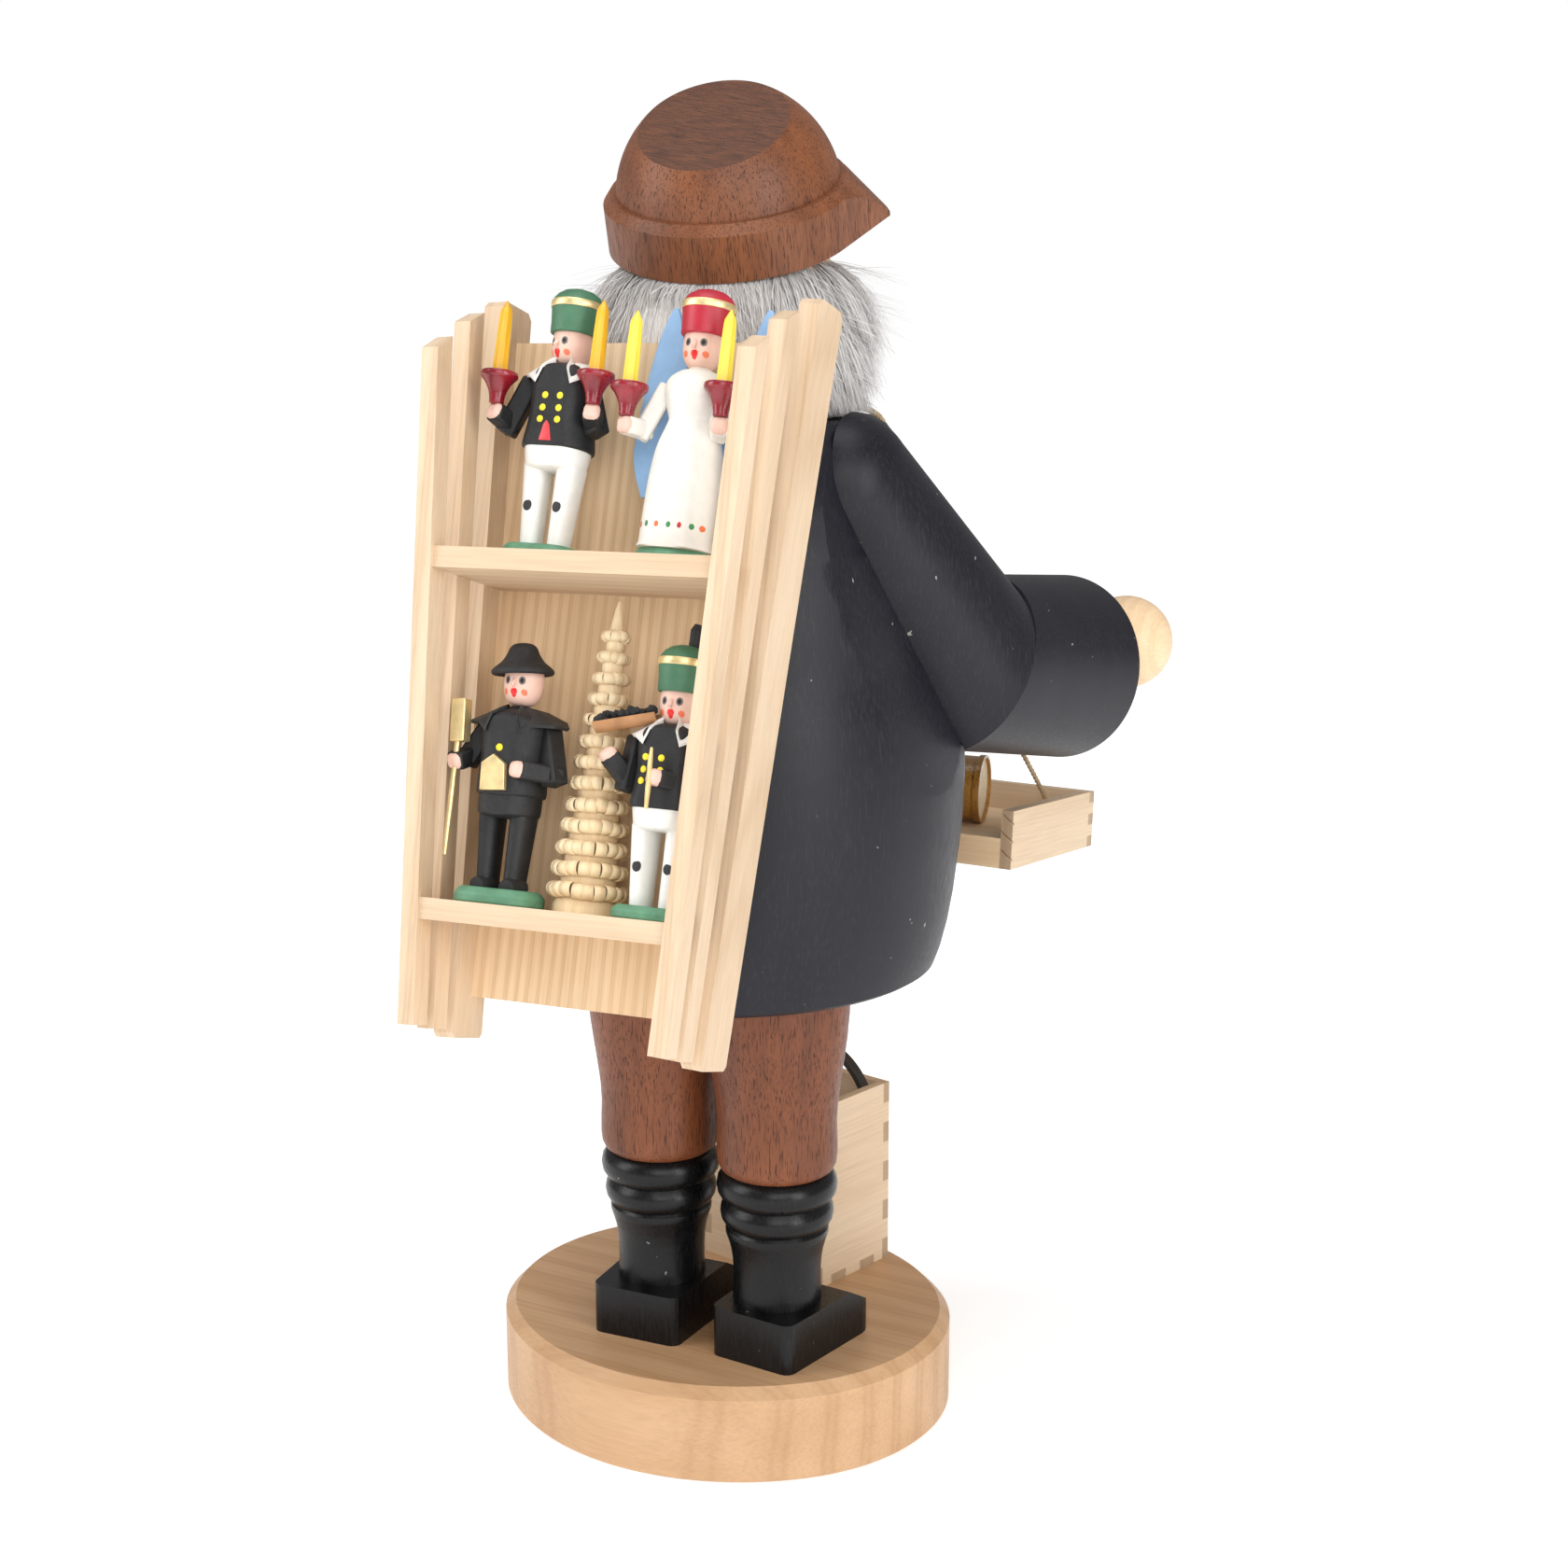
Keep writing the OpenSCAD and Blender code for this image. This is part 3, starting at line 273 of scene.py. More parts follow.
def stained_wood(name, pale, mid, dark, base, rough=0.42, coat=0.06, facet=None):
    """Stained beech: long dark pores in a warm ground; a face square to facet is sawn across."""
    n = Nodes(name)
    vec = n.local(base)
    pore = 0.34 * MM
    pores = n.noise(n.stretch(vec, (1, 1, 0.075)), 1 / pore, 2.5, 0.7, 0.4)
    cloud = n.noise(n.stretch(vec, (1, 1, 0.2)), 90, 4)
    band = n.noise(n.stretch(vec, (1, 1, 0.12)), 320, 3)
    tone = n.ramp(cloud, [(0.28, dark), (0.5, mid), (0.75, pale)])
    tone = n.blend(n.math("MULTIPLY", n.ramp(band, [(0.35, (0,)), (0.7, (1,))]), 0.4), tone, pale)
    gap = n.ramp(pores, [(0.38, (1.0,)), (0.47, (0.0,))])
    colour = n.blend(n.math("MULTIPLY", gap, 0.75), tone, tuple(0.28 * c for c in dark))
    if facet:
        slope = n.node("ShaderNodeVectorMath", operation="DOT_PRODUCT")
        n.link(n.node("ShaderNodeNewGeometry").outputs["True Normal"], slope.inputs[0])
        slope.inputs[1].default_value = facet
        flat = n.math("GREATER_THAN", slope.outputs["Value"], 0.998)
        lines = n.noise(n.stretch(vec, (0.06, 1, 1)), 2600, 3, 0.7)
        sawn = n.ramp(lines, [(0.35, tuple(0.45 * c for c in dark)),
                              (0.65, tuple(0.8 * c for c in mid))])
        colour = n.blend(flat, colour, sawn)
    n.put("Base Color", colour)
    n.put("Roughness", n.ramp(pores, [(0.35, (rough + 0.3,)), (0.5, (rough,))]))
    n.put("Specular IOR Level", 0.35)
    n.put("Coat Weight", coat)
    n.put("Coat Roughness", 0.3)
    n.bump(pores, 0.3, 0.00012)
    return n.mat


def stained_dark(name, col, light, base, rough=0.4):
    """Blue-black stain with the turned wood's fine grain and a few tiny chips in it."""
    n = Nodes(name)
    vec = n.local(base)
    fleck = n.noise(n.stretch(vec, (1, 1, 0.12)), 1900, 4, 0.7)
    cloud = n.noise(n.stretch(vec, (1, 1, 0.3)), 55, 4)
    tone = n.ramp(cloud, [(0.3, col), (0.75, light)])
    speck = n.ramp(fleck, [(0.5, (0.0,)), (0.75, (1.0,))])
    chip = n.ramp(n.noise(vec, 420, 2, 0.5), [(0.755, (0.0,)), (0.775, (1.0,))])
    grain_tone = n.blend(n.math("MULTIPLY", speck, 0.5), tone, tuple(2.6 * c + 0.006 for c in light))
    colour = n.blend(n.math("MULTIPLY", chip, 0.7), grain_tone, (0.35, 0.33, 0.3))
    n.put("Base Color", colour)
    n.put("Roughness", n.ramp(fleck, [(0.3, (rough - 0.05,)), (0.7, (rough + 0.14,))]))
    n.put("Specular IOR Level", 0.3)
    n.bump(fleck, 0.14, 0.0001)
    return n.mat


def paint(name, col, rough=0.4, vary=0.12, metallic=0.0, streak=1.0, coat=0.0):
    """Brushed enamel on small turned wood."""
    n = Nodes(name)
    vec = n.local(PACK)
    cloud = n.noise(n.stretch(vec, (1, 1, streak)), 260, 4)
    fine = n.noise(vec, 2200, 3)
    low = tuple(c * (1 - vary) for c in col)
    high = tuple(min(1, c * (1 + vary) + 0.004) for c in col)
    n.put("Base Color", n.ramp(cloud, [(0.3, low), (0.7, high)]))
    n.put("Roughness", n.ramp(fine, [(0.3, (rough - 0.06,)), (0.7, (rough + 0.1,))]))
    n.put("Metallic", metallic)
    n.put("Coat Weight", coat)
    n.bump(n.math("ADD", n.math("MULTIPLY", fine, 0.4), cloud), 0.12, 0.0002)
    return n.mat


def fur_hair(name, root, tip):
    """Loose grey fur: strands differ in tone and pale out towards their tips."""
    n = Nodes(name)
    attr = n.node("ShaderNodeAttribute", attribute_name="strand")
    tone = n.ramp(attr.outputs["Fac"], [(0.0, root), (0.55, tip), (1.0, tuple(1.25 * c for c in tip))])
    n.put("Base Color", tone)
    n.put("Roughness", 0.75)
    n.put("Sheen Weight", 0.25)
    n.bump(n.noise(n.local(FIG), 3000, 2), 0.1, 0.0001)
    return n.mat


PINE = dict(pale=(0.85, 0.65, 0.43), mid=(0.79, 0.57, 0.345), dark=(0.5, 0.28, 0.12))
LIME = dict(pale=(0.73, 0.57, 0.40), mid=(0.65, 0.475, 0.31), dark=(0.45, 0.27, 0.14))


def materials():
    m = {}
    m["beech"] = raw_wood("beech", (0.65, 0.41, 0.23), (0.56, 0.33, 0.165), (0.38, 0.18, 0.07), WORLD,
                          "X", 9, 0.3, 0.42)
    m["panel"] = raw_wood("panel_pine", base=PACK, grain="Z", ring=2.9, lines=0.42, wander=4.5, **PINE)
    m["post"] = raw_wood("post_pine", base=PACK, grain="Z", ring=5.0, lines=0.38, wander=3.2, **LIME)
    m["shelf"] = raw_wood("shelf_pine", base=PACK, grain="X", ring=5.0, lines=0.28, **LIME)
    m["tray"] = raw_wood("tray_pine", base=TRAY, grain="Y", ring=3.6, lines=0.5, wander=4,
                         ends=0.6, **LIME)
    m["tray_front"] = raw_wood("tray_front_pine", base=TRAY, grain="X", ring=3.6, lines=0.5, wander=4,
                               ends=0.6, **LIME)
    m["tray_floor"] = raw_wood("tray_floor_pine", base=TRAY, grain="X", ring=2.6, lines=0.45, **PINE)
    for axis in "XY":
        m["crate_" + axis] = raw_wood("crate_pine_" + axis, base=CRATE, grain=axis, ring=5.5, lines=0.3,
                                      wander=5, ends=0.6, **LIME)
    m["coat"] = stained_dark("coat_stain", (0.0052, 0.005, 0.0085), (0.0105, 0.01, 0.0152), FIG)
    m["boot"] = stained_dark("boot_black", (0.002, 0.002, 0.0026), (0.0045, 0.0045, 0.005), WORLD,
                             rough=0.27)
    m["breeches"] = stained_wood("breeches_stain", (0.24, 0.072, 0.024), (0.16, 0.046, 0.015),
                                 (0.09, 0.025, 0.009), WORLD)
    m["cap"] = stained_wood("cap_stain", (0.25, 0.085, 0.031), (0.17, 0.055, 0.02),
                            (0.1, 0.031, 0.012), CAP, facet=FACET)
    m["hand"] = raw_wood("hand_maple", (0.82, 0.6, 0.38), (0.76, 0.53, 0.31), (0.6, 0.38, 0.2), FIG,
                         "Y", 3, 0.3, 0.4)
    m["face"] = raw_wood("face_lime", (0.82, 0.58, 0.38), (0.76, 0.5, 0.31), (0.6, 0.36, 0.2), FIG,
                         "Z", 6, 0.15, 0.42)
    m["fur"] = fur_hair("fur", (0.44, 0.415, 0.4), (0.62, 0.6, 0.585))
    m["twine"] = paint("twine", (0.42, 0.31, 0.18), 0.8, 0.3)
    m["leather"] = paint("handle_leather", (0.02, 0.013, 0.01), 0.6, 0.3)
    m["brass"] = paint("dish_brass", (0.6, 0.5, 0.25), 0.35, 0.1, 1.0)
    m["drum"] = stained_wood("drum_brown", (0.5, 0.26, 0.05), (0.4, 0.18, 0.03), (0.26, 0.1, 0.015),
                             TRAY, rough=0.25, coat=0.5)
    m["drum_skin"] = paint("drum_skin", (0.83, 0.7, 0.5), 0.5)
    m["horse"] = raw_wood("horse_lime", base=TRAY, grain="Y", ring=4, lines=0.2, **LIME)
    m["horse_leg"] = paint("horse_leg_brown", (0.2, 0.06, 0.02), 0.4)
    m["saddle"] = paint("saddle_red", (0.5, 0.02, 0.02), 0.35)
    m["black"] = paint("miner_black", (0.006, 0.006, 0.007), 0.58, 0.3)
    m["hat_black"] = paint("hat_black", (0.008, 0.008, 0.0085), 0.65, 0.35)
    m["flap"] = paint("collar_grey", (0.02, 0.02, 0.021), 0.6, 0.3)
    m["iris"] = paint("eye_grey", (0.16, 0.13, 0.12), 0.5)
    m["white"] = paint("miner_white", (0.8, 0.79, 0.75), 0.4, 0.05, coat=0.1)
    m["gown"] = paint("angel_white", (0.8, 0.77, 0.71), 0.4, 0.05, coat=0.1)
    m["green"] = paint("shako_green", (0.05, 0.155, 0.08), 0.5, 0.15)
    m["foot_green"] = paint("foot_green", (0.1, 0.26, 0.15), 0.5, 0.18)
    m["red"] = paint("hat_red", (0.42, 0.012, 0.03), 0.4, 0.12)
    m["cup"] = paint("cup_red", (0.24, 0.006, 0.016), 0.25, 0.3, streak=0.4, coat=0.3)
    m["gold"] = paint("gold", (0.85, 0.66, 0.33), 0.35, 0.2, 0.75)
    m["amber"] = paint("candle_amber", (0.82, 0.42, 0.012), 0.32, 0.3, streak=0.15, coat=0.2)
    m["lemon"] = paint("candle_lemon", (0.86, 0.66, 0.06), 0.32, 0.16, streak=0.15, coat=0.2)
    m["skin"] = paint("doll_skin", (0.77, 0.5, 0.405), 0.45, 0.05)
    m["lip"] = paint("mouth_red", (0.7, 0.01, 0.01), 0.25)
    m["cheek"] = paint("cheek_orange", (0.82, 0.17, 0.08), 0.45)
    m["button"] = paint("button_yellow", (0.85, 0.68, 0.02), 0.35)
    m["apron"] = paint("triangle_red", (0.7, 0.05, 0.06), 0.35)
    m["wing"] = paint("wing_blue", (0.27, 0.46, 0.72), 0.5, 0.06)
    m["dot_green"] = paint("dot_green", (0.05, 0.25, 0.09), 0.4)
    m["dot_red"] = paint("dot_red", (0.5, 0.02, 0.02), 0.4)
    m["dot_orange"] = paint("dot_orange", (0.8, 0.17, 0.05), 0.4)
    m["trough"] = paint("trough_brown", (0.42, 0.2, 0.08), 0.5, 0.2)
    m["ore"] = paint("ore_black", (0.012, 0.012, 0.013), 0.75, 0.4)
    m["curl"] = raw_wood("curl_lime", (0.9, 0.74, 0.5), (0.84, 0.64, 0.38), (0.6, 0.38, 0.16), PACK,
                         "Z", 3, 0.2, 0.5)
    return m


# forms

def middle(outline):
    return [sum(p[k] for p in outline) / len(outline) for k in (0, 1)]


def square_to(pts, i):
    """Two directions square to a path at its point i."""
    t = (pts[min(i + 1, len(pts) - 1)] - pts[max(i - 1, 0)]).normalized()
    u = t.cross(Vector((0.12, 1, 0.31))).normalized()
    return u, t.cross(u)


class Form:
    """Vertices and faces in millimetres, gathered before one mesh is made."""

    def __init__(self):
        self.v, self.f = [], []

    def add(self, verts, faces, place=WORLD):
        base = len(self.v)
        self.v += [place @ Vector(p) for p in verts]
        self.f += [[i + base for i in f] for f in faces]
        return self

    def rings(self, rows, place=WORLD, closed=True):
        """Skins a list of equally long rows of points."""
        n = len(rows[0])
        verts = [p for row in rows for p in row]
        faces = [(i * n + j, i * n + (j + 1) % n, (i + 1) * n + (j + 1) % n, (i + 1) * n + j)
                 for i in range(len(rows) - 1) for j in range(n if closed else n - 1)]
        if closed:
            faces += [tuple(range(n))[::-1], tuple((len(rows) - 1) * n + j for j in range(n))]
        return self.add(verts, faces, place)

    def lathe(self, profile, place=WORLD, seg=40, flat=math.inf):
        """Turned form from (radius, height) pairs; flat cuts its front and back at |y|."""
        angles = [2 * math.pi * j / seg for j in range(seg)]
        rows = [[(r * math.cos(a), max(-flat, min(flat, r * math.sin(a))), z) for a in angles]
                for r, z in profile]
        return self.rings(rows, place)

    def tube(self, pts, radii, seg=12, place=WORLD):
        pts = [Vector(p) for p in pts]
        if not hasattr(radii, "__len__"):
            radii = [radii] * len(pts)
        rows = []
        for i, p in enumerate(pts):
            u, w = square_to(pts, i)
            rows.append([p + radii[i] * (math.cos(a) * u + math.sin(a) * w)
                         for a in (2 * math.pi * j / seg for j in range(seg))])
        return self.rings([r[::-1] for r in rows], place)

    def block(self, lo, hi, place=WORLD):
        (x0, y0, z0), (x1, y1, z1) = lo, hi
        verts = [(x, y, z) for z in (z0, z1) for y in (y0, y1) for x in (x0, x1)]
        faces = [(0, 2, 3, 1), (4, 5, 7, 6), (0, 1, 5, 4), (2, 6, 7, 3), (0, 4, 6, 2), (1, 3, 7, 5)]
        return self.add(verts, faces, place)

    def bar(self, p, q, w, place=WORLD, over=0.5):
        """Carved square bar, as the solids' arms are."""
        p, q = Vector(p), Vector(q)
        d = q - p
        turn_to = d.to_track_quat("Z", "X").to_matrix().to_4x4()
        end = d.length + over * w
        return self.block((-w / 2, -w / 2, -over * w), (w / 2, w / 2, end),
                          place @ Matrix.Translation(p) @ turn_to)

    def slab(self, outline, z0, z1, inset=0.0, place=WORLD):
        """Flat plate with its upper outline drawn in towards the middle."""
        cx, cy = middle(outline)

        def shrink(p):
            v = Vector((p[0] - cx, p[1] - cy))
            return cx + v.x * (1 - inset / v.length), cy + v.y * (1 - inset / v.length)

        rows = [[(*p, z0) for p in outline], [(*p, z0 + 0.6 * (z1 - z0)) for p in outline],
                [(*shrink(p), z1) for p in outline]]
        return self.rings(rows, place)

    def patch(self, outline, surf, place=WORLD, lift=0.06, rows=3):
        """Painted spot: an (x, z) outline laid on the surface y = surf(x, z)."""
        cx, cz = middle(outline)
        n = len(outline)
        verts = [(cx, surf(cx, cz) + lift, cz)]
        for k in range(1, rows + 1):
            for x, z in outline:
                px, pz = cx + (x - cx) * k / rows, cz + (z - cz) * k / rows
                verts.append((px, surf(px, pz) + (lift if k < rows else -0.02), pz))
        faces = [(0, 1 + (j + 1) % n, 1 + j) for j in range(n)]
        for k in range(rows - 1):
            a, b = 1 + k * n, 1 + (k + 1) * n
            faces += [(a + j, a + (j + 1) % n, b + (j + 1) % n, b + j) for j in range(n)]
        return self.add(verts, faces, place)

    def mesh(self, name, mat):
        """New mesh of this form, in metres."""
        mesh = bpy.data.meshes.new(name)
        mesh.from_pydata([tuple(MM * c for c in p) for p in self.v], [], self.f)
        mesh.materials.append(MAT[mat])
        return mesh


def make(name, form, mat, body, stands_for=(), smooth=40, bevel=0.0):
    """Turns a form into an object that rides on a body."""
    mesh = form.mesh(name, mat)
    mesh.validate()
    mesh.update()
    for p in mesh.polygons:
        p.use_smooth = True
    mesh.set_sharp_from_angle(angle=math.radians(smooth))
    obj = show(name, mesh)
    if bevel:
        soften(obj, bevel)
    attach(obj, body)
    if stands_for:
        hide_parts(*stands_for)
    return obj


def soften(obj, width):
    """Rounds the sharp edges a little, as sanding does."""
    mod = obj.modifiers.new("soft_edges", "BEVEL")
    mod.width = width * MM
    mod.segments = 2
    mod.limit_method = "ANGLE"
    mod.angle_limit = math.radians(35)
    mod.use_clamp_overlap = True
    mod.harden_normals = False


def turning_group():
    """Joins a turned solid's bands and shades them as one curve, with edges kept over 32 degrees."""
    group = bpy.data.node_groups.new("turned_shading", "GeometryNodeTree")
    group.interface.new_socket("Geometry", in_out="INPUT", socket_type="NodeSocketGeometry")
    group.interface.new_socket("Geometry", in_out="OUTPUT", socket_type="NodeSocketGeometry")
    add, link = group.nodes.new, group.links.new
    merge = add("GeometryNodeMergeByDistance")
    merge.inputs["Distance"].default_value = 1e-6
    plain = add("GeometryNodeRemoveAttribute")
    plain.inputs["Name"].default_value = "custom_normal"
    faces = add("GeometryNodeSetShadeSmooth")
    edges = add("GeometryNodeSetShadeSmooth")
    edges.domain = "EDGE"
    angle = add("GeometryNodeInputMeshEdgeAngle")
    under = add("FunctionNodeCompare")
    under.operation = "LESS_THAN"
    under.inputs[1].default_value = math.radians(32)
    link(add("NodeGroupInput").outputs[0], merge.inputs["Geometry"])
    link(merge.outputs["Geometry"], plain.inputs["Geometry"])
    link(plain.outputs["Geometry"], faces.inputs["Geometry"])
    link(faces.outputs["Geometry"], edges.inputs["Geometry"])
    link(angle.outputs["Unsigned Angle"], under.inputs[0])
    link(under.outputs["Result"], edges.inputs["Shade Smooth"])
    link(edges.outputs["Geometry"], add("NodeGroupOutput").inputs[0])
    return group


def dress(node, mat, bevel=0.0, turned=False):
    """Gives a CAD node its material and, where it is a board, softly sanded edges."""
    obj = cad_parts[node]
    obj.data.materials.clear()
    obj.data.materials.append(MAT[mat])
    if turned:
        obj.modifiers.new("turned", "NODES").node_group = TURNED
    if bevel:
        soften(obj, bevel)


def smooth_path(pts, k):
    """Catmull-Rom points through pts, k to each span."""
    pts = [Vector(p) for p in pts]
    out = []
    for i in range(len(pts) - 1):
        a, b = pts[max(i - 1, 0)], pts[i]
        c, d = pts[i + 1], pts[min(i + 2, len(pts) - 1)]
        for j in range(k):
            t = j / k
            out.append(0.5 * ((2 * b) + (c - a) * t + (2 * a - 5 * b + 4 * c - d) * t * t
                              + (3 * b - a - 3 * c + d) * t ** 3))
    return out + [pts[-1]]


def smooth_profile(profile, k=4):
    return [(p.x, p.y) for p in smooth_path([(r, z, 0) for r, z in profile], k)]


def dot(x, z, rx, rz=None, n=14):
    rz = rx if rz is None else rz
    return [(x + rx * math.cos(2 * math.pi * j / n), z + rz * math.sin(2 * math.pi * j / n))
            for j in range(n)]


def radius_at(profile, z):
    for (r0, z0), (r1, z1) in zip(profile, profile[1:]):
        if min(z0, z1) <= z <= max(z0, z1) and z0 != z1:
            return r0 + (r1 - r0) * (z - z0) / (z1 - z0)
    return profile[-1][0]


def turned_surface(profile, flat=math.inf):
    """The front of a turned form as y over (x, z)."""
    def surf(x, z):
        r = radius_at(profile, z)
        return min(flat, math.sqrt(max(r * r - x * x, 0.01)))
    return surf


# the little figures

HEAD = smooth_profile([(0, -0.8), (2.2, -0.7), (3.7, 0.3), (4.6, 2.1), (4.85, 4.1), (4.75, 6),
                       (4.5, 7.2)])
CHIN = 43.0
LEAN = move(-0.9, 0, 0) @ turn(-1.7, "Y")
UPPER_HEAD = 0.92
LOWER_HEAD = 0.88


def slim(k):
    """Narrows a head and its hat without lowering them."""
    return Matrix.Diagonal((k, k, 1, 1))


def doll_face(name, place):
    """Turned head with painted eyes, mouth and cheeks and a whittled nose."""
    make(name + "_face", Form().lathe(HEAD, place), "skin", BODY)
    surf = turned_surface(HEAD)
    eyes, lips, cheeks, rims = Form(), Form(), Form(), Form()
    for s in (-1, 1):
        rims.patch(dot(s * 1.95, 4.35, 0.8, 0.95), surf, place, 0.06)
        eyes.patch(dot(s * 1.95, 4.35, 0.52, 0.66), surf, place, 0.12)
        cheeks.patch(dot(s * 2.5, 1.9, 0.72), surf, place, 0.05)
    heart = [(0, 0.55), (0.55, 0.95), (0.95, 1.85), (0.9, 2.4), (0.45, 2.75), (0, 2.6), (-0.45, 2.75),
             (-0.9, 2.4), (-0.95, 1.85), (-0.55, 0.95)]
    lips.patch(heart, surf, place, 0.12)
    nose = Form().tube([(0, 4.1, 5.1), (0, 4.8, 4.4), (0, 5.5, 3.4), (0, 4.7, 2.9)],
                       [0.22, 0.5, 0.55, 0.2], 10, place)
    make(name + "_eye_rims", rims, "iris", BODY)
    make(name + "_eyes", eyes, "hat_black", BODY)
    make(name + "_mouth", lips, "lip", BODY)
    make(name + "_cheeks", cheeks, "cheek", BODY)
    make(name + "_nose", nose, "skin", BODY, smooth=80)


def shako(name, place, mat, node):
    body = [(0, 6.4), (5.5, 6.4), (5.7, 6.6), (5.8, 9), (6.15, 12), (6.15, 13.4), (5.9, 14), (5.1, 15),
            (3.7, 15.9), (1.9, 16.4), (0, 16.6)]
    make(name + "_hat", Form().lathe(body, place), mat, BODY, (node,))
    ring = [(6.0, 11.9), (6.28, 11.95), (6.36, 12.1), (6.38, 13.2), (6.25, 13.5), (5.8, 13.6)]
    make(name + "_hat_band", Form().lathe(ring, place), "gold", BODY)


TORSO = [(6.9, 20.5), (7.3, 24), (7.9, 24.3), (7.8, 26), (7.4, 29), (7.2, 33), (7.5, 37), (7.4, 39.6),
         (6.4, 41.4), (4.6, 42.4), (2.6, 42.9), (2.2, 43.2)]
TORSO_FLAT = 6.2


def rounded_foot(rx, ry, n=40, power=3.2):
    out = []
    for j in range(n):
        a = 2 * math.pi * j / n
        c, s = math.cos(a), math.sin(a)
        out.append((rx * math.copysign(abs(c) ** (2 / power), c),
                    ry * math.copysign(abs(s) ** (2 / power), s)))
    return out


def collar(name, place, mat, wide, front, drop, lift=1.25):
    """Two pointed cloth flaps lying on the shoulders, with the jacket bare between them."""
    form = Form()
    for s in (-1, 1):
        lip = [(1.7, 3.2, 42.9), (3.0, front + 0.35, 40.9), (4.3, front + 0.5, 38.6 - drop),
               (6.6, front - 0.9, 39.5 - 0.5 * drop), (wide, 2.9, 40.1 - 0.7 * drop),
               (wide + 0.3, -2.6, 40.2 - 0.7 * drop), (wide - 2, -5.6, 40.7)]
        neck = [(1.5, 2.0, 43.2), (1.9, 1.9, 43.3), (2.2, 1.6, 43.4), (2.4, 1.1, 43.4),
                (2.5, 0.4, 43.4), (2.5, -0.6, 43.4), (2.2, -1.8, 43.4)]
        mid = [(0.45 * a[0] + 0.55 * b[0], 0.45 * a[1] + 0.55 * b[1], 0.45 * a[2] + 0.55 * b[2] + lift)
               for a, b in zip(lip, neck)]
        lip = [(1.02 * x, 1.02 * y, z + 0.5) for x, y, z in lip]
        low = [(0.96 * x, 0.96 * y, z - 0.6) for x, y, z in lip]
        rows = [[(s * x, y, z) for x, y, z in row] for row in (low, lip, mid, neck)]
        form.rings(rows if s > 0 else rows[::-1], place, closed=False)
    make(name + "_collar", form, mat, BODY, smooth=30)


def hands_and_arms(name, place, arms, sleeve, widths=(4.4, 3.9)):
    """Carved sleeves; each arm is (shoulder, elbow, hand)."""
    sleeves, hands = Form(), Form()
    for shoulder, elbow, hand in arms:
        elbow, hand = Vector(elbow), Vector(hand)
        d = (hand - elbow).normalized()
        cut = elbow + (hand - elbow) * 0.72
        sleeves.bar(shoulder, elbow, widths[0], place)
        sleeves.bar(elbow, cut, widths[1], place, 0.45)
        hands.bar(cut, hand - 0.2 * d, 3.6, place, 0.42)
    make(name + "_sleeves", sleeves, sleeve, BODY, bevel=0.6, smooth=35)
    make(name + "_hands", hands, "skin", BODY, bevel=1.0, smooth=35)


def legs(name, place, mat, ankle=5.3, hip=7.3, knees=None, shoes=False):
    """One turned cone for both legs, parted by a sawn slot."""
    form, spots, feet = Form(), Form(), Form()
    slot = 1.35
    for s in (-1, 1):
        rows = []
        for t in (0, 0.2, 0.4, 0.6, 0.8, 1):
            z = 2.8 + 17.6 * t
            outer = ankle + (hip - 0.6 - ankle) * t
            c, half, deep = s * (slot + outer) / 2, (outer - slot) / 2, 0.62 * outer
            rows.append([(c + half * x, deep * y, z) for x, y in rounded_foot(1, 1, 28, 2.5)])
        form.rings(rows, place)
        if knees:
            x = s * (slot + ankle + 0.5) / 2
            spots.patch(dot(x, 11.4, 1.05, 1.25), lambda px, pz, x=x: 3.72 - 0.06 * (px - x) ** 2,
                        place, 0.1)
        if shoes:
            feet.tube([(s * 3.4, -1.6, 4.1), (s * 3.4, 1.6, 4.2), (s * 3.6, 4.2, 4)],
                      [2.4, 2.55, 1.7], 14, place)
    cone = [(0, 19.2), (4.6, 19.4), (6.2, 19.9), (6.7, 20.8), (hip, 24.6)]
    hips = Form().lathe(smooth_profile(cone), place, 40, 6.1)
    make(name + "_legs", form, mat, BODY, smooth=60)
    make(name + "_hips", hips, mat, BODY, smooth=60)
    if knees:
        make(name + "_knees", spots, knees, BODY)
    if shoes:
        make(name + "_shoes", feet, "hat_black", BODY)


def cup_candle(name, place, spots, wax, node):
    """Trumpet-shaped cups in the hands, each with a whittled candle."""
    cups, wicks = Form(), Form()
    bell = smooth_profile([(0, 1.7), (1.5, 1.8), (1.65, 2.8), (2.0, 4.4), (2.7, 5.9), (3.45, 6.9),
                           (3.95, 7.4), (4.1, 7.9), (4.05, 8.4), (3.7, 8.7), (1.7, 8.6)], 3)
    taper = [(1.75, 8.4), (1.66, 12), (1.56, 17), (1.42, 21.2), (1.3, 22.2), (0.15, 24.4)]
    for p in spots:
        at = place @ Matrix.Translation(p)
        cups.lathe(bell, at, 32)
        wicks.lathe(taper, at, 8)
    make(name + "_cups", cups, "cup", BODY, (node,))
    make(name + "_candles", wicks, wax, BODY, smooth=20)


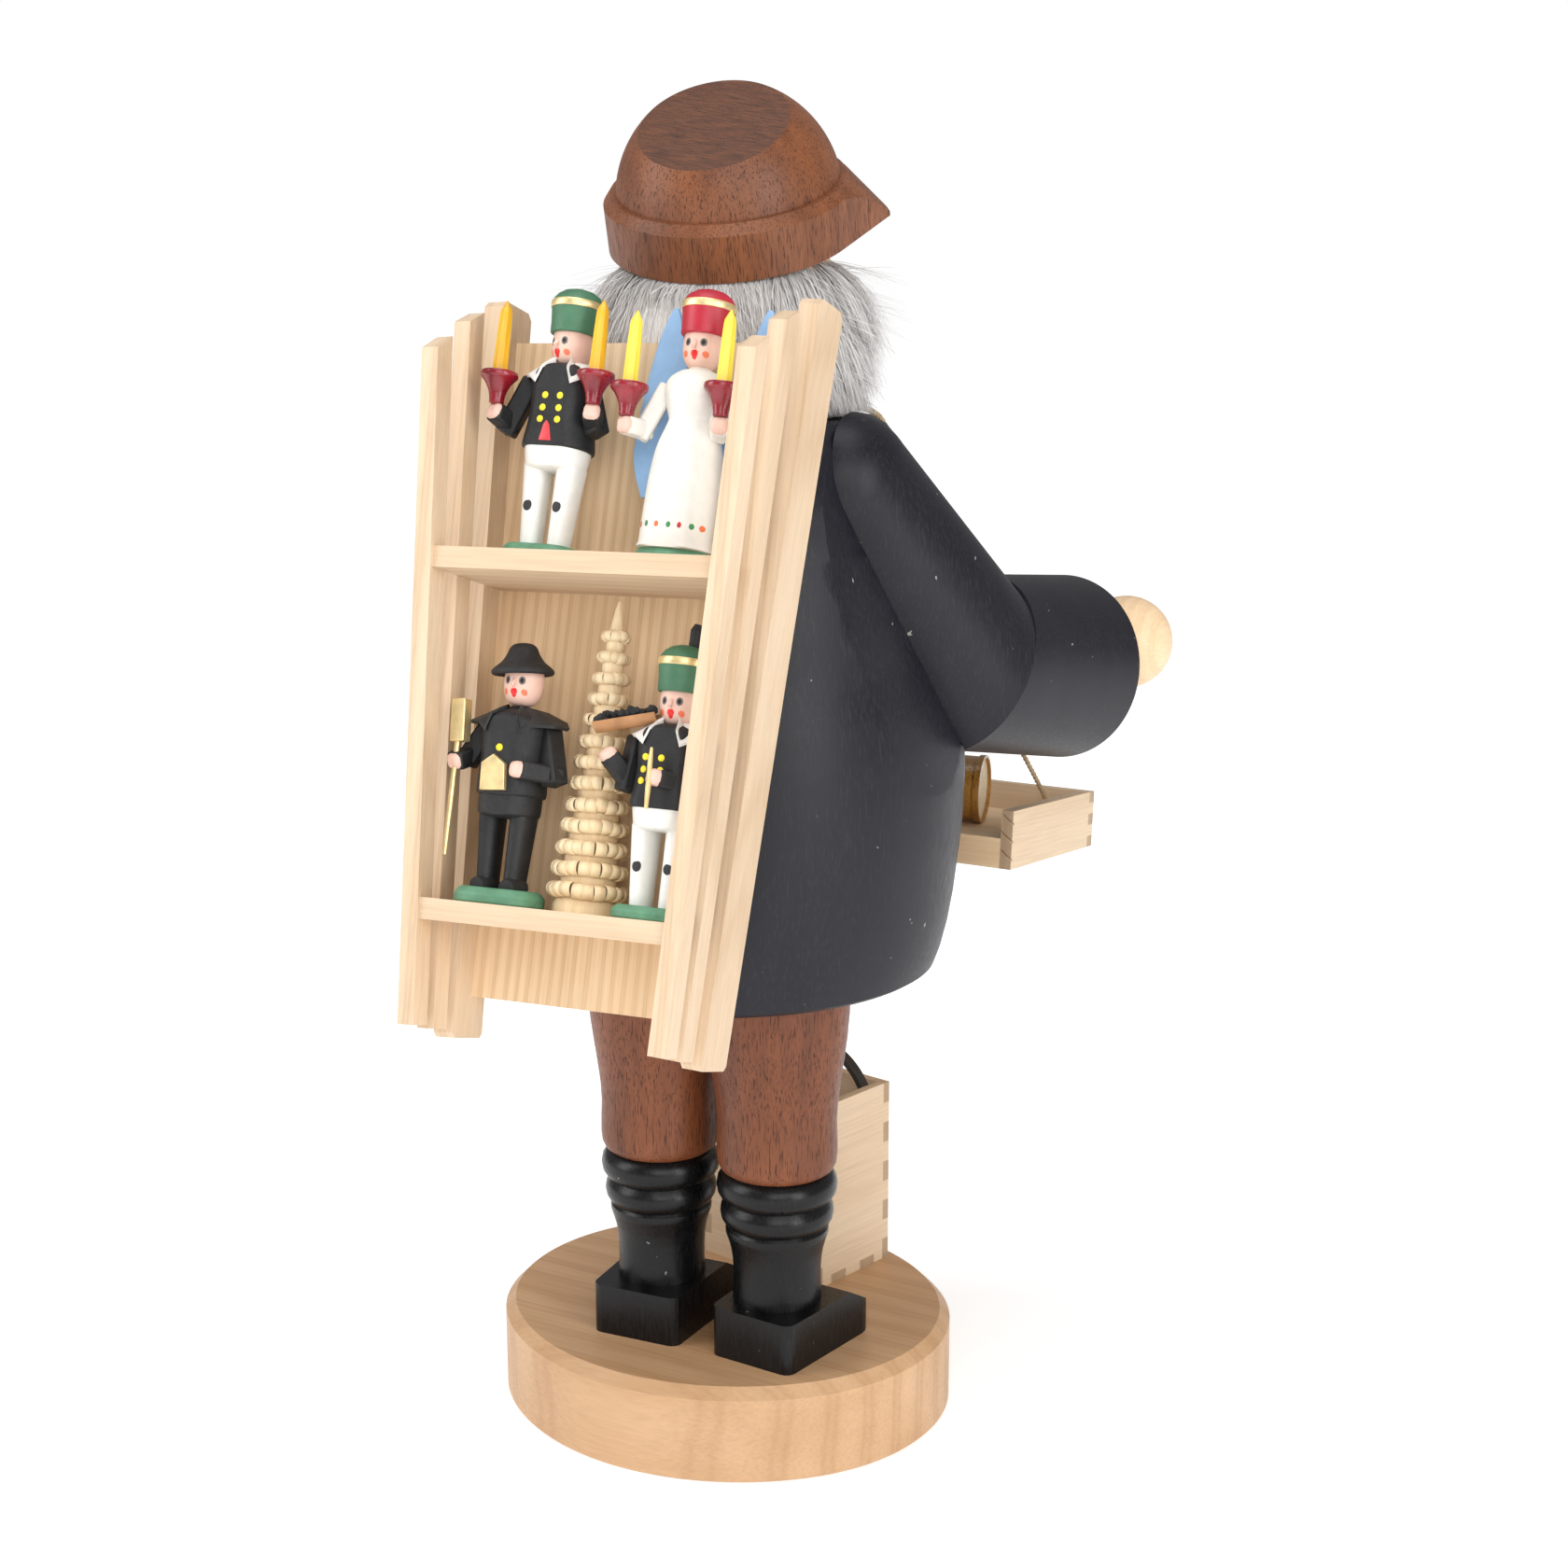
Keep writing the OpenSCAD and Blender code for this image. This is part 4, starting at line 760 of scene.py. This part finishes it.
def miner(name, at, arms, node, lean, tall=1.0, look=0.0, head_size=UPPER_HEAD, row_shift=0.0):
    """White trousers, black jacket with two button rows, collar and face."""
    squash = Matrix.Diagonal((1, 1, tall, 1))
    place = PACK @ move(*at) @ lean @ squash
    make(name + "_foot", Form().slab(rounded_foot(8.7, 6.6), 0, 3, 1.1, place), "foot_green", BODY,
         (node,), 35, 0.35)
    legs(name, place, "white", knees="flap")
    torso = Form().lathe(smooth_profile(TORSO[1:], 3), place, 48, TORSO_FLAT)
    make(name + "_jacket", torso, "black", BODY, smooth=50)
    hands_and_arms(name, PACK @ move(*at) @ squash, arms, "black")
    collar(name, place, "white", 8.6, 6.2, 1.0)
    surf = turned_surface(TORSO, TORSO_FLAT)
    buttons = Form()
    for i, z in enumerate((34.9, 32.2, 29.7)):
        for x in (-2.1 - 0.05 * i, 1.5 + 0.25 * i):
            buttons.patch(dot(x + row_shift, z, 0.78, 0.78), surf, place, 0.3)
    make(name + "_buttons", buttons, "button", BODY, smooth=60)
    head = PACK @ move(*at) @ lean @ move(0, 0, CHIN * tall) @ turn(look, "Z")
    head = head @ slim(head_size)
    doll_face(name, head)
    return place, head, surf


def green_miner():
    hand = (11.8, 5.5, 31.3)
    arms = [((s * 7.2, 0, 37.6), (s * 10.4, 1, 29.5), (s * hand[0], hand[1], hand[2]))
            for s in (-1, 1)]
    place, head, surf = miner("green_miner", (15.5, 14, SHELF_UP), arms, "green_miner_body", LEAN,
                              look=-20)
    wedge = [(-1.4, 25.0), (1.7, 25.0), (1.0, 28.6), (0.3, 29.6), (-0.5, 28.6)]
    make("green_miner_sash", Form().patch(wedge, surf, place, 0.12), "apron", BODY)
    shako("green_miner", head, "green", "green_miner_head")
    stand = PACK @ move(15.5, 14, SHELF_UP)
    spots = [Vector((s * hand[0], hand[1], hand[2])) for s in (-1, 1)]
    cup_candle("green_miner", stand, spots, "amber", "green_miner_candles")


def ore_miner():
    arms = [((-7.2, 0, 37.6), (-7.9, 1, 29.5), (-0.8, 7.4, 30.6)),
            ((7.2, 0, 37.6), (7.9, 1, 29.5), (11.6, 4.6, 35))]
    place, head, _ = miner("ore_miner", (-21.4, 16, SHELF_LOW), arms, "ore_miner_body",
                              move(-0.8, 0, 0) @ turn(-0.8, "Y"), LOW_FIGURES, 0, LOWER_HEAD, 1.8)
    shako("ore_miner", head, "green", "ore_miner_head")
    rng = random.Random(5)
    plume = [(-1.6, 0, 15.4), (-2.0, 0, 17.4), (-2.3, 0.1, 19.6), (-2.5, 0.1, 21)]
    make("ore_miner_plume", Form().tube(plume, [1.2, 1.5, 1.75, 1.0], 9, head), "hat_black", BODY,
         smooth=25)
    # half-round trough with lumps of ore, on the far shoulder
    p, q = Vector((16.8, 4.2, 41.4)), Vector((3.4, 2.9, 44.8))
    axis = (q - p).normalized()
    side = axis.cross(Vector((0, 0, 1))).normalized()
    up = side.cross(axis)
    rows = []
    for t in (0, 0.25, 0.5, 0.75, 1):
        c, r = p.lerp(q, t), 2.3
        arc = [math.pi * (1 + j / 10) for j in range(11)]
        rows.append([c + r * (math.cos(a) * side + math.sin(a) * up) for a in arc]
                    + [c + (r - 0.5) * (math.cos(a) * side + math.sin(a) * up) for a in arc[::-1]])
    make("ore_miner_trough_shell", Form().rings(rows, place), "trough", BODY, ("ore_miner_trough",), 40)
    lumps = Form()
    for i in range(90):
        t, s = rng.random(), rng.uniform(-1.5, 1.5)
        c = p.lerp(q, 0.03 + 0.94 * t) + side * s + up * (0.1 + rng.random() * (1.7 - 0.5 * abs(s)))
        r = rng.uniform(0.6, 1.0)
        spin = Matrix.Rotation(rng.uniform(0, 6), 4, Vector((rng.random(), rng.random(), 1)))
        lumps.lathe([(0.05, -r), (r * 0.9, -0.4 * r), (r, 0.35 * r), (0.05, r)],
                    place @ Matrix.Translation(c) @ spin, 5)
    make("ore_miner_ore", lumps, "ore", BODY, smooth=10)
    stick = [(0.4, 8.9, 23.6), (0.5, 8.9, 28), (0.8, 8.8, 34), (0.9, 8.7, 36.8)]
    make("ore_miner_stick", Form().tube(stick, [0.42, 0.6, 0.55, 0.3], 8, place), "gold", BODY)


def black_miner():
    at = (16.2, 15.6, SHELF_LOW)
    shift = PACK @ move(*at) @ move(-1.4, 0, 0)
    place = shift @ Matrix.Diagonal((1, 1, LOW_FIGURES, 1))
    name = "black_miner"
    make(name + "_foot", Form().slab(rounded_foot(9.3, 7), 0, 3.6, 1.2, place), "foot_green", BODY,
         ("black_miner_body",), 35, 0.4)
    legs(name, place, "black", 5.0, 6.8, shoes=True)
    coat = [(6.6, 24.3), (7.3, 24.5), (7.5, 26), (7.4, 29), (7.3, 34), (7.6, 39), (7.2, 41.4),
            (4.6, 43.2), (2.4, 44), (2.2, 44.4)]
    make(name + "_jacket", Form().lathe(smooth_profile(coat, 3), place, 48, 6.6), "black", BODY,
         smooth=50)
    arms = [((7.6, 0, 38.2), (10.6, 0.6, 32.8), (11.6, 4.9, 31)),
            ((-7.6, 0, 38.2), (-10.2, 1, 29.6), (-4.8, 7.4, 30))]
    hands_and_arms(name, place, arms, "black", (4.5, 4.1))
    collar(name, place @ move(0, 0, 1), "flap", 10.3, 6.6, 1.6, 0.7)
    surf = turned_surface(coat, 6.6)
    plate = [(-2.4, 25.2), (3.6, 24.8), (3.9, 31), (1.2, 33.1), (-1.9, 31)]
    upright = place @ turn(-90, "X")
    make(name + "_plate", Form().slab([(x, -z) for x, z in plate], 6.4, 7.6, 0.15, upright), "gold",
         BODY, smooth=20, bevel=0.12)
    make(name + "_button", Form().patch(dot(0.4, 34.6, 0.85), surf, place, 0.3), "button", BODY,
         smooth=60)
    head = shift @ move(0, 0, 43.4) @ slim(LOWER_HEAD)
    doll_face(name, head)
    hat = smooth_profile([(0, 6.9), (4.6, 6.6), (6.6, 5.9), (7.5, 6.1), (7.6, 6.9), (6.7, 7.7),
                          (5.2, 8.8), (4, 10.4), (3.3, 11.8), (2.1, 12.6), (0, 12.9)], 3)
    make(name + "_hat", Form().lathe(hat, head @ turn(4, "Y") @ turn(-3, "X"), 48), "hat_black", BODY,
         ("black_miner_head",), 60)
    rod = PACK @ move(at[0] + 10.2, at[1] + 5.05, at[2])
    pole = Form().tube([(0, 0, 9.5), (0, 0, 20), (0, 0, 30), (0, 0, 37.8)], [0.45, 0.62, 0.62, 0.6],
                       10, rod)
    make(name + "_staff", pole, "gold", BODY, ("black_miner_hammer",))
    hammer = Form().block((-4.6, -1.6, 33.6), (-1.2, 1.6, 42.8), rod @ turn(4, "Y"))
    make(name + "_hammer_head", hammer, "gold", BODY, bevel=0.3, smooth=30)


def angel():
    stand = PACK @ move(-16, 14, SHELF_UP)
    place = stand @ LEAN
    foot = Form().slab(rounded_foot(8.6, 7.2, power=2.3), 0, 3, 1.0, place)
    make("angel_foot", foot, "foot_green", BODY, smooth=35, bevel=0.3)
    gown = smooth_profile([(0, 2.8), (7.9, 2.9), (8.15, 4.4), (8.1, 10), (7.85, 18), (7.1, 24.4),
                           (5.5, 29.8), (5.4, 31.2), (6.3, 33.8), (6.9, 36.8), (6.4, 39.2),
                           (4.4, 41), (2.9, 41.6), (2.2, 42.4)])
    make("angel_gown", Form().lathe(gown, place, 56, 7.1), "gown", BODY, ("angel_body",), 60)
    arms = [((s * 5.8, 0, 36.6), (s * 9, 1.6, 28.6), (s * 10.9, 6.4, 28.6)) for s in (-1, 1)]
    hands_and_arms("angel", stand, arms, "gown", (4, 3.7))
    surf = turned_surface(gown, 7.1)
    dots = {"dot_green": Form(), "dot_red": Form(), "dot_orange": Form()}
    hem = {6.4: "dot_red", 4.3: "dot_green", 1.9: "dot_orange", -0.9: "dot_green", -3.4: "dot_red",
           -5.7: "dot_green", -7.2: "dot_orange"}
    for x, kind in hem.items():
        dots[kind].patch(dot(x, 7.6, 0.62 * (1 - 0.05 * abs(x)), 0.68), surf, place, 0.08)
    for kind, form in dots.items():
        make("angel_" + kind, form, kind, BODY)
    head = place @ move(0, 0, 42.6) @ slim(UPPER_HEAD)
    doll_face("angel", head)
    shako("angel", head, "red", "angel_head")
    wing = [(0, 29), (2.6, 34), (4.9, 39.5), (6.7, 45), (8.3, 50.5), (9.7, 54.8), (11.2, 57.2),
            (12.8, 54), (14.2, 49), (15.4, 42), (16.2, 35), (16.6, 29), (16.6, 25), (15.7, 20.8),
            (14.3, 17.4), (12.8, 15.2), (9, 18), (5, 23), (0, 26)]
    # the wing at the post is cut off before it
    reach = {1: 16.6, -1: 12.6}
    closed = smooth_path([(x, z, 0) for x, z in wing], 3)
    wings = Form()
    for s in (-1, 1):
        outline = [(s * min(p.x, reach[s]), p.y) for p in closed]
        rows = [[(x, y, z) for x, z in outline] for y in (-7.6, -6.2)]
        wings.rings(rows, place)
    make("angel_wing_pair", wings, "wing", BODY, ("angel_wings",), 30, 0.25)
    spots = [Vector((s * 10.9, 6.4, 28.65)) for s in (-1, 1)]
    cup_candle("angel", stand, spots, "lemon", "angel_candles")


def curl_tree():
    """Trunk with rings of shavings, each one cut and rolled outwards by the knife."""
    rng = random.Random(11)
    place = PACK @ move(-2.8, 9.6, SHELF_LOW)
    trunk = [(0, 0), (7.1, 0), (7.1, 1.6), (6.5, 3)]
    rings = 13
    lowest, pitch = 4.85, 4.55
    for i in range(rings):
        z, r = lowest + pitch * i, 6.1 - 0.38 * i
        trunk += [(r + 0.3, z - 1.3), (r - 0.4, z + 0.6), (r - 0.1, z + 1.9)]
    trunk += [(1.3, 61.6), (1.1, 63), (0.8, 65), (0.3, 67)]
    make("curl_tree_trunk", Form().lathe(trunk, place, 32), "curl", BODY, ("curl_tree",), 50)
    curls = Form()
    for i in range(rings):
        z, r = lowest + pitch * i, 8.7 - 0.44 * i
        count = max(9, round(2 * math.pi * r / 2.6))
        size = 1.75 - 0.04 * i
        for k in range(count):
            a = 2 * math.pi * (k + rng.uniform(-0.12, 0.12)) / count
            wide = 0.92 * math.pi * r / count
            roll = rng.uniform(1.5, 1.85) * math.pi
            lift = rng.uniform(-0.2, 0.2)
            rows = []
            steps = 15
            for j in range(steps):
                t = j / (steps - 1)
                b = -0.5 * math.pi - 0.35 + roll * t * 1.25
                rad = size * (1 - 0.34 * t)
                out = r - 1.5 + rad * math.cos(b)
                up = z + lift + rad * math.sin(b)
                half = wide * (1.08 - 0.1 * t) * (0.75 + 0.25 * out / r)
                c, s = math.cos(a), math.sin(a)
                rows.append([(out * c + w * s, out * s - w * c, up) for w in (-half, half)])
            flat = [p for row in rows for p in row]
            faces = [(2 * j, 2 * j + 1, 2 * j + 3, 2 * j + 2) for j in range(steps - 1)]
            curls.add(flat, faces, place)
    obj = make("curl_tree_curls", curls, "curl", BODY, smooth=60)
    thick = obj.modifiers.new("thick", "SOLIDIFY")
    thick.thickness = 0.16 * MM
    thick.offset = 0


# fur, cord and toys

HEAD_AT = Vector((0, -4.5, 277.5))
HEAD_R = 26.0
MOUTH = Vector((0, -28, 269.8))
SHOULDER_UP = 254.6
STRANDS = 24000
PACK_INV = PACK.inverted()
CAP_INV = CAP.inverted()


def keep_out(p):
    """Pushes a strand's point out of the cap, the back panel and the coat's shoulder."""
    w = FIG @ p
    c = CAP_INV @ w
    if c.z > -5.9 and math.hypot(c.x, c.y) < 40:
        c.z = -5.9
        w = CAP @ c
    k = PACK_INV @ w
    if k.y > PANEL_BACK - 0.5 and -20 < k.z < 142 and abs(k.x) < 42:
        k.y = PANEL_BACK - 0.5
        w = PACK @ k
    p = FIG.inverted() @ w
    r = math.hypot(p.x, p.y)
    slope = max(r - 36, 0)
    p.z = max(p.z, SHOULDER_UP - 0.62 * slope - 0.02 * slope ** 2)
    return p


def fur():
    """Thousands of tapering strands, combed out and down from the head."""
    rng = random.Random(3)
    noise.seed_set(3)
    form, tones = Form(), []
    made = 0
    while made < STRANDS:
        az = rng.uniform(0, 2 * math.pi)
        el = rng.uniform(-1.0, 0.5)
        d = Vector((math.cos(az) * math.cos(el), math.sin(az) * math.cos(el), math.sin(el)))
        face = math.atan2(abs(d.x), -d.y)
        root = HEAD_AT + d * (HEAD_R - 0.6)
        bare_face = face < 0.78 and el > -0.22
        under_cap = (CAP_INV @ (FIG @ root)).z > -3
        if bare_face or under_cap or (root - MOUTH).length < 5.5 or root.z < 256:
            continue
        long = rng.uniform(15, 22) * (1.0 if face > 0.9 else 0.85)
        if el < -0.5:
            long *= 0.8
        stray = rng.random() < 0.05
        out = Vector((d.x, d.y, 0.25 * d.z)).normalized()
        swirl = Vector((-d.y, d.x, 0)) * rng.uniform(-0.25, 0.25)
        clump = noise.noise_vector(root * 0.16) * 0.45
        v = (out * 0.95 + Vector((0, 0, -0.25)) + swirl + clump).normalized()
        pull = Vector((0, 0, rng.uniform(-1.35, -0.85) if not stray else -0.15))
        p, pts = root.copy(), [root.copy()]
        steps = 5
        for j in range(steps):
            v = (v + pull * 0.34 + noise.noise_vector(p * 0.3 + Vector((7, 1, 3))) * 0.12).normalized()
            p = keep_out(p + v * long / steps)
            pts.append(p.copy())
        width = rng.uniform(0.09, 0.17)
        side = v.cross(d + Vector((0.01, 0.02, 0.03))).normalized()
        twist = Vector((rng.uniform(-1, 1), rng.uniform(-1, 1), rng.uniform(-1, 1)))
        side = (side + 0.5 * twist).normalized()
        verts, tone = [], []
        shade = rng.random()
        for j, q in enumerate(pts[:-1]):
            w = width * (1 - 0.75 * j / steps)
            verts += [q - side * w, q + side * w]
            tone += [min(1, 0.12 + 0.5 * shade + 0.34 * j / steps)] * 2
        verts.append(pts[-1])
        tone.append(min(1, 0.5 + 0.5 * shade))
        n = len(pts) - 1
        faces = [(2 * j, 2 * j + 1, 2 * j + 3, 2 * j + 2) for j in range(n - 1)]
        faces.append((2 * n - 2, 2 * n - 1, 2 * n))
        form.add(verts, faces, FIG)
        tones += tone
        made += 1
    mesh = form.mesh("fur_strands", "fur")
    mesh.attributes.new("strand", "FLOAT", "POINT").data.foreach_set("value", tones)
    obj = show("fur_strands", mesh)
    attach(obj, BODY)
    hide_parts("hair_fur", "beard_fur")


CORD_HALF = [(-40.4, -101.9, 134.4), (-40.4, -102.5, 143.6), (-39.6, -101.6, 148), (-36.4, -92, 162.5),
             (-32.1, -80, 181.5), (-30.1, -72, 193.5), (-28.7, -62, 208.5), (-26.6, -50, 227),
             (-24.8, -42, 240.5), (-23.8, -36.6, 250.4), (-22.9, -32.5, 253.6), (-21.8, -27.5, 254.9),
             (-20, -20, 255.05), (-18.4, -12, 255.05), (-17.6, -4, 255.05), (-16.4, 4, 255.05),
             (-13.4, 10.6, 255.05), (-8, 15.2, 255.05), (0, 17, 255.05)]


def twine():
    """Three strands twisted along the cord's route."""
    route = smooth_path(CORD_HALF + [(-x, y, z) for x, y, z in CORD_HALF[-2::-1]], 14)
    form = Form()
    gap, thick, lay = 0.38, 0.42, 4.2
    for s in range(3):
        run, pts = 0.0, []
        for i, p in enumerate(route):
            u, w = square_to(route, i)
            if i:
                run += (p - route[i - 1]).length
            a = 2 * math.pi * (run / lay + s / 3)
            pts.append(p + gap * (math.cos(a) * u + math.sin(a) * w))
        form.tube(pts, thick, 6, FIG)
    make("tray_twine", form, "twine", BODY, ("tray_cord",), 80)


def toys():
    """Drum and little horse lying on the tray."""
    place = TRAY @ move(29, 20, TRAY_FLOOR + 9) @ turn(14, "Z") @ turn(90, "Y")
    shell = [(8.0, -3.4), (8.3, -3.7), (8.3, -4.4), (9, -4.4), (9.05, -3.6), (9, -2.8), (8.6, -2.6),
             (8.6, 2.6), (9, 2.8), (9.05, 3.6), (9, 4.4), (8.3, 4.4), (8.3, 3.7), (8.0, 3.4)]
    make("toy_drum_shell", Form().lathe(shell, place, 56), "drum", BODY, ("toy_drum",), 35)
    skins = Form()
    for s in (-1, 1):
        skins.lathe([(0, s * 3.4), (4, s * 3.55), (8.25, s * 3.5), (8.25, s * 3.3), (0, s * 3.2)],
                    place, 48)
    make("toy_drum_skins", skins, "drum_skin", BODY, smooth=40)
    place = TRAY @ move(6, 26, TRAY_FLOOR)
    leg, body = Form(), Form()
    body.block((-4, -11, 0), (4, 11, 1.6), place)
    body.tube([(0, 9.4, 14), (0, 7, 14.2), (0, 0, 13.8), (0, -6, 14), (0, -9.4, 14)],
              [3, 4, 3.8, 4.1, 3], 20, place)
    body.tube([(0, 7, 14.5), (0, 10, 18), (0, 13.2, 22.4)], [3.2, 2.8, 2.3], 16, place)
    body.tube([(0, 12, 23.8), (0, 15, 23.4), (0, 18.6, 21.6), (0, 19.4, 21)],
              [1.6, 2.2, 1.7, 1.2], 14, place)
    for s in (-1, 1):
        leg.block((-2.4, -1.2, 0), (2.4, 1.2, 11), place @ move(0, s * 7.6, 1.2) @ turn(s * 14, "X"))
    make("toy_horse_body", body, "horse", BODY, ("toy_horse",), 50, 0.3)
    make("toy_horse_legs", leg, "horse_leg", BODY, smooth=30, bevel=0.3)
    make("toy_horse_saddle", Form().block((-3.7, -4, 15), (3.7, 4, 18.8), place), "saddle", BODY,
         smooth=30, bevel=0.9)


def big_face():
    """Painted eyes and cheeks of the turned head, in front."""
    def surf(x, z):
        return math.sqrt(max((HEAD_R + 0.02) ** 2 - x * x - z * z, 0.1))
    place = FIG @ Matrix.Translation(HEAD_AT) @ turn(180, "Z")
    eyes, white, cheeks = Form(), Form(), Form()
    for s in (-1, 1):
        white.patch(dot(s * 7.4, 4.6, 2.3, 2.7, 24), surf, place, 0.05)
        eyes.patch(dot(s * 7.2, 4.4, 1.35, 1.6, 24), surf, place, 0.12)
        cheeks.patch(dot(s * 10.2, -2.6, 2.6, 2.4, 24), surf, place, 0.04)
    make("face_eye_whites", white, "white", BODY)
    make("face_eyes", eyes, "hat_black", BODY)
    make("face_cheeks", cheeks, "cheek", BODY)


def dress_solids():
    dress("base", "beech", 0.3, True)
    for side in ("right", "left"):
        dress(side + "_shoe", "boot", 0.7)
        dress(side + "_boot", "boot", 0, True)
        dress(side + "_breeches", "breeches", 0.3, True)
        dress(side + "_upper_arm", "coat", 0.45, True)
        dress(side + "_forearm", "coat", 0.6, True)
        dress(side + "_hand", "hand", 0, True)
        for rank in ("front", "middle", "rear"):
            dress(side + "_" + rank + "_post", "post", 0.35)
        dress("tray_" + side + "_side", "tray", 0.15)
        dress("crate_" + side + "_side", "crate_Y", 0.12)
    dress("hip_block", "breeches")
    dress("cone_dish", "brass")
    dress("coat", "coat", 0.5, True)
    dress("head", "face", 0, True)
    dress("nose", "face", 0, True)
    dress("cap_brim", "cap", 0.5, True)
    dress("cap_crown", "cap", 0.2)
    dress("tray_floor", "tray_floor", 0.25)
    dress("tray_front", "tray_front", 0.15)
    dress("pack_panel", "panel", 0.25)
    dress("upper_shelf", "shelf", 0.3)
    dress("lower_shelf", "shelf", 0.3)
    dress("pack_pegs", "post")
    for part in ("front", "back", "floor"):
        dress("crate_" + part, "crate_X", 0.12)
    dress("crate_handle", "leather", 0.25)


camera()
studio()
MAT = materials()
TURNED = turning_group()
dress_solids()
green_miner()
angel()
black_miner()
curl_tree()
ore_miner()
twine()
toys()
big_face()
fur()
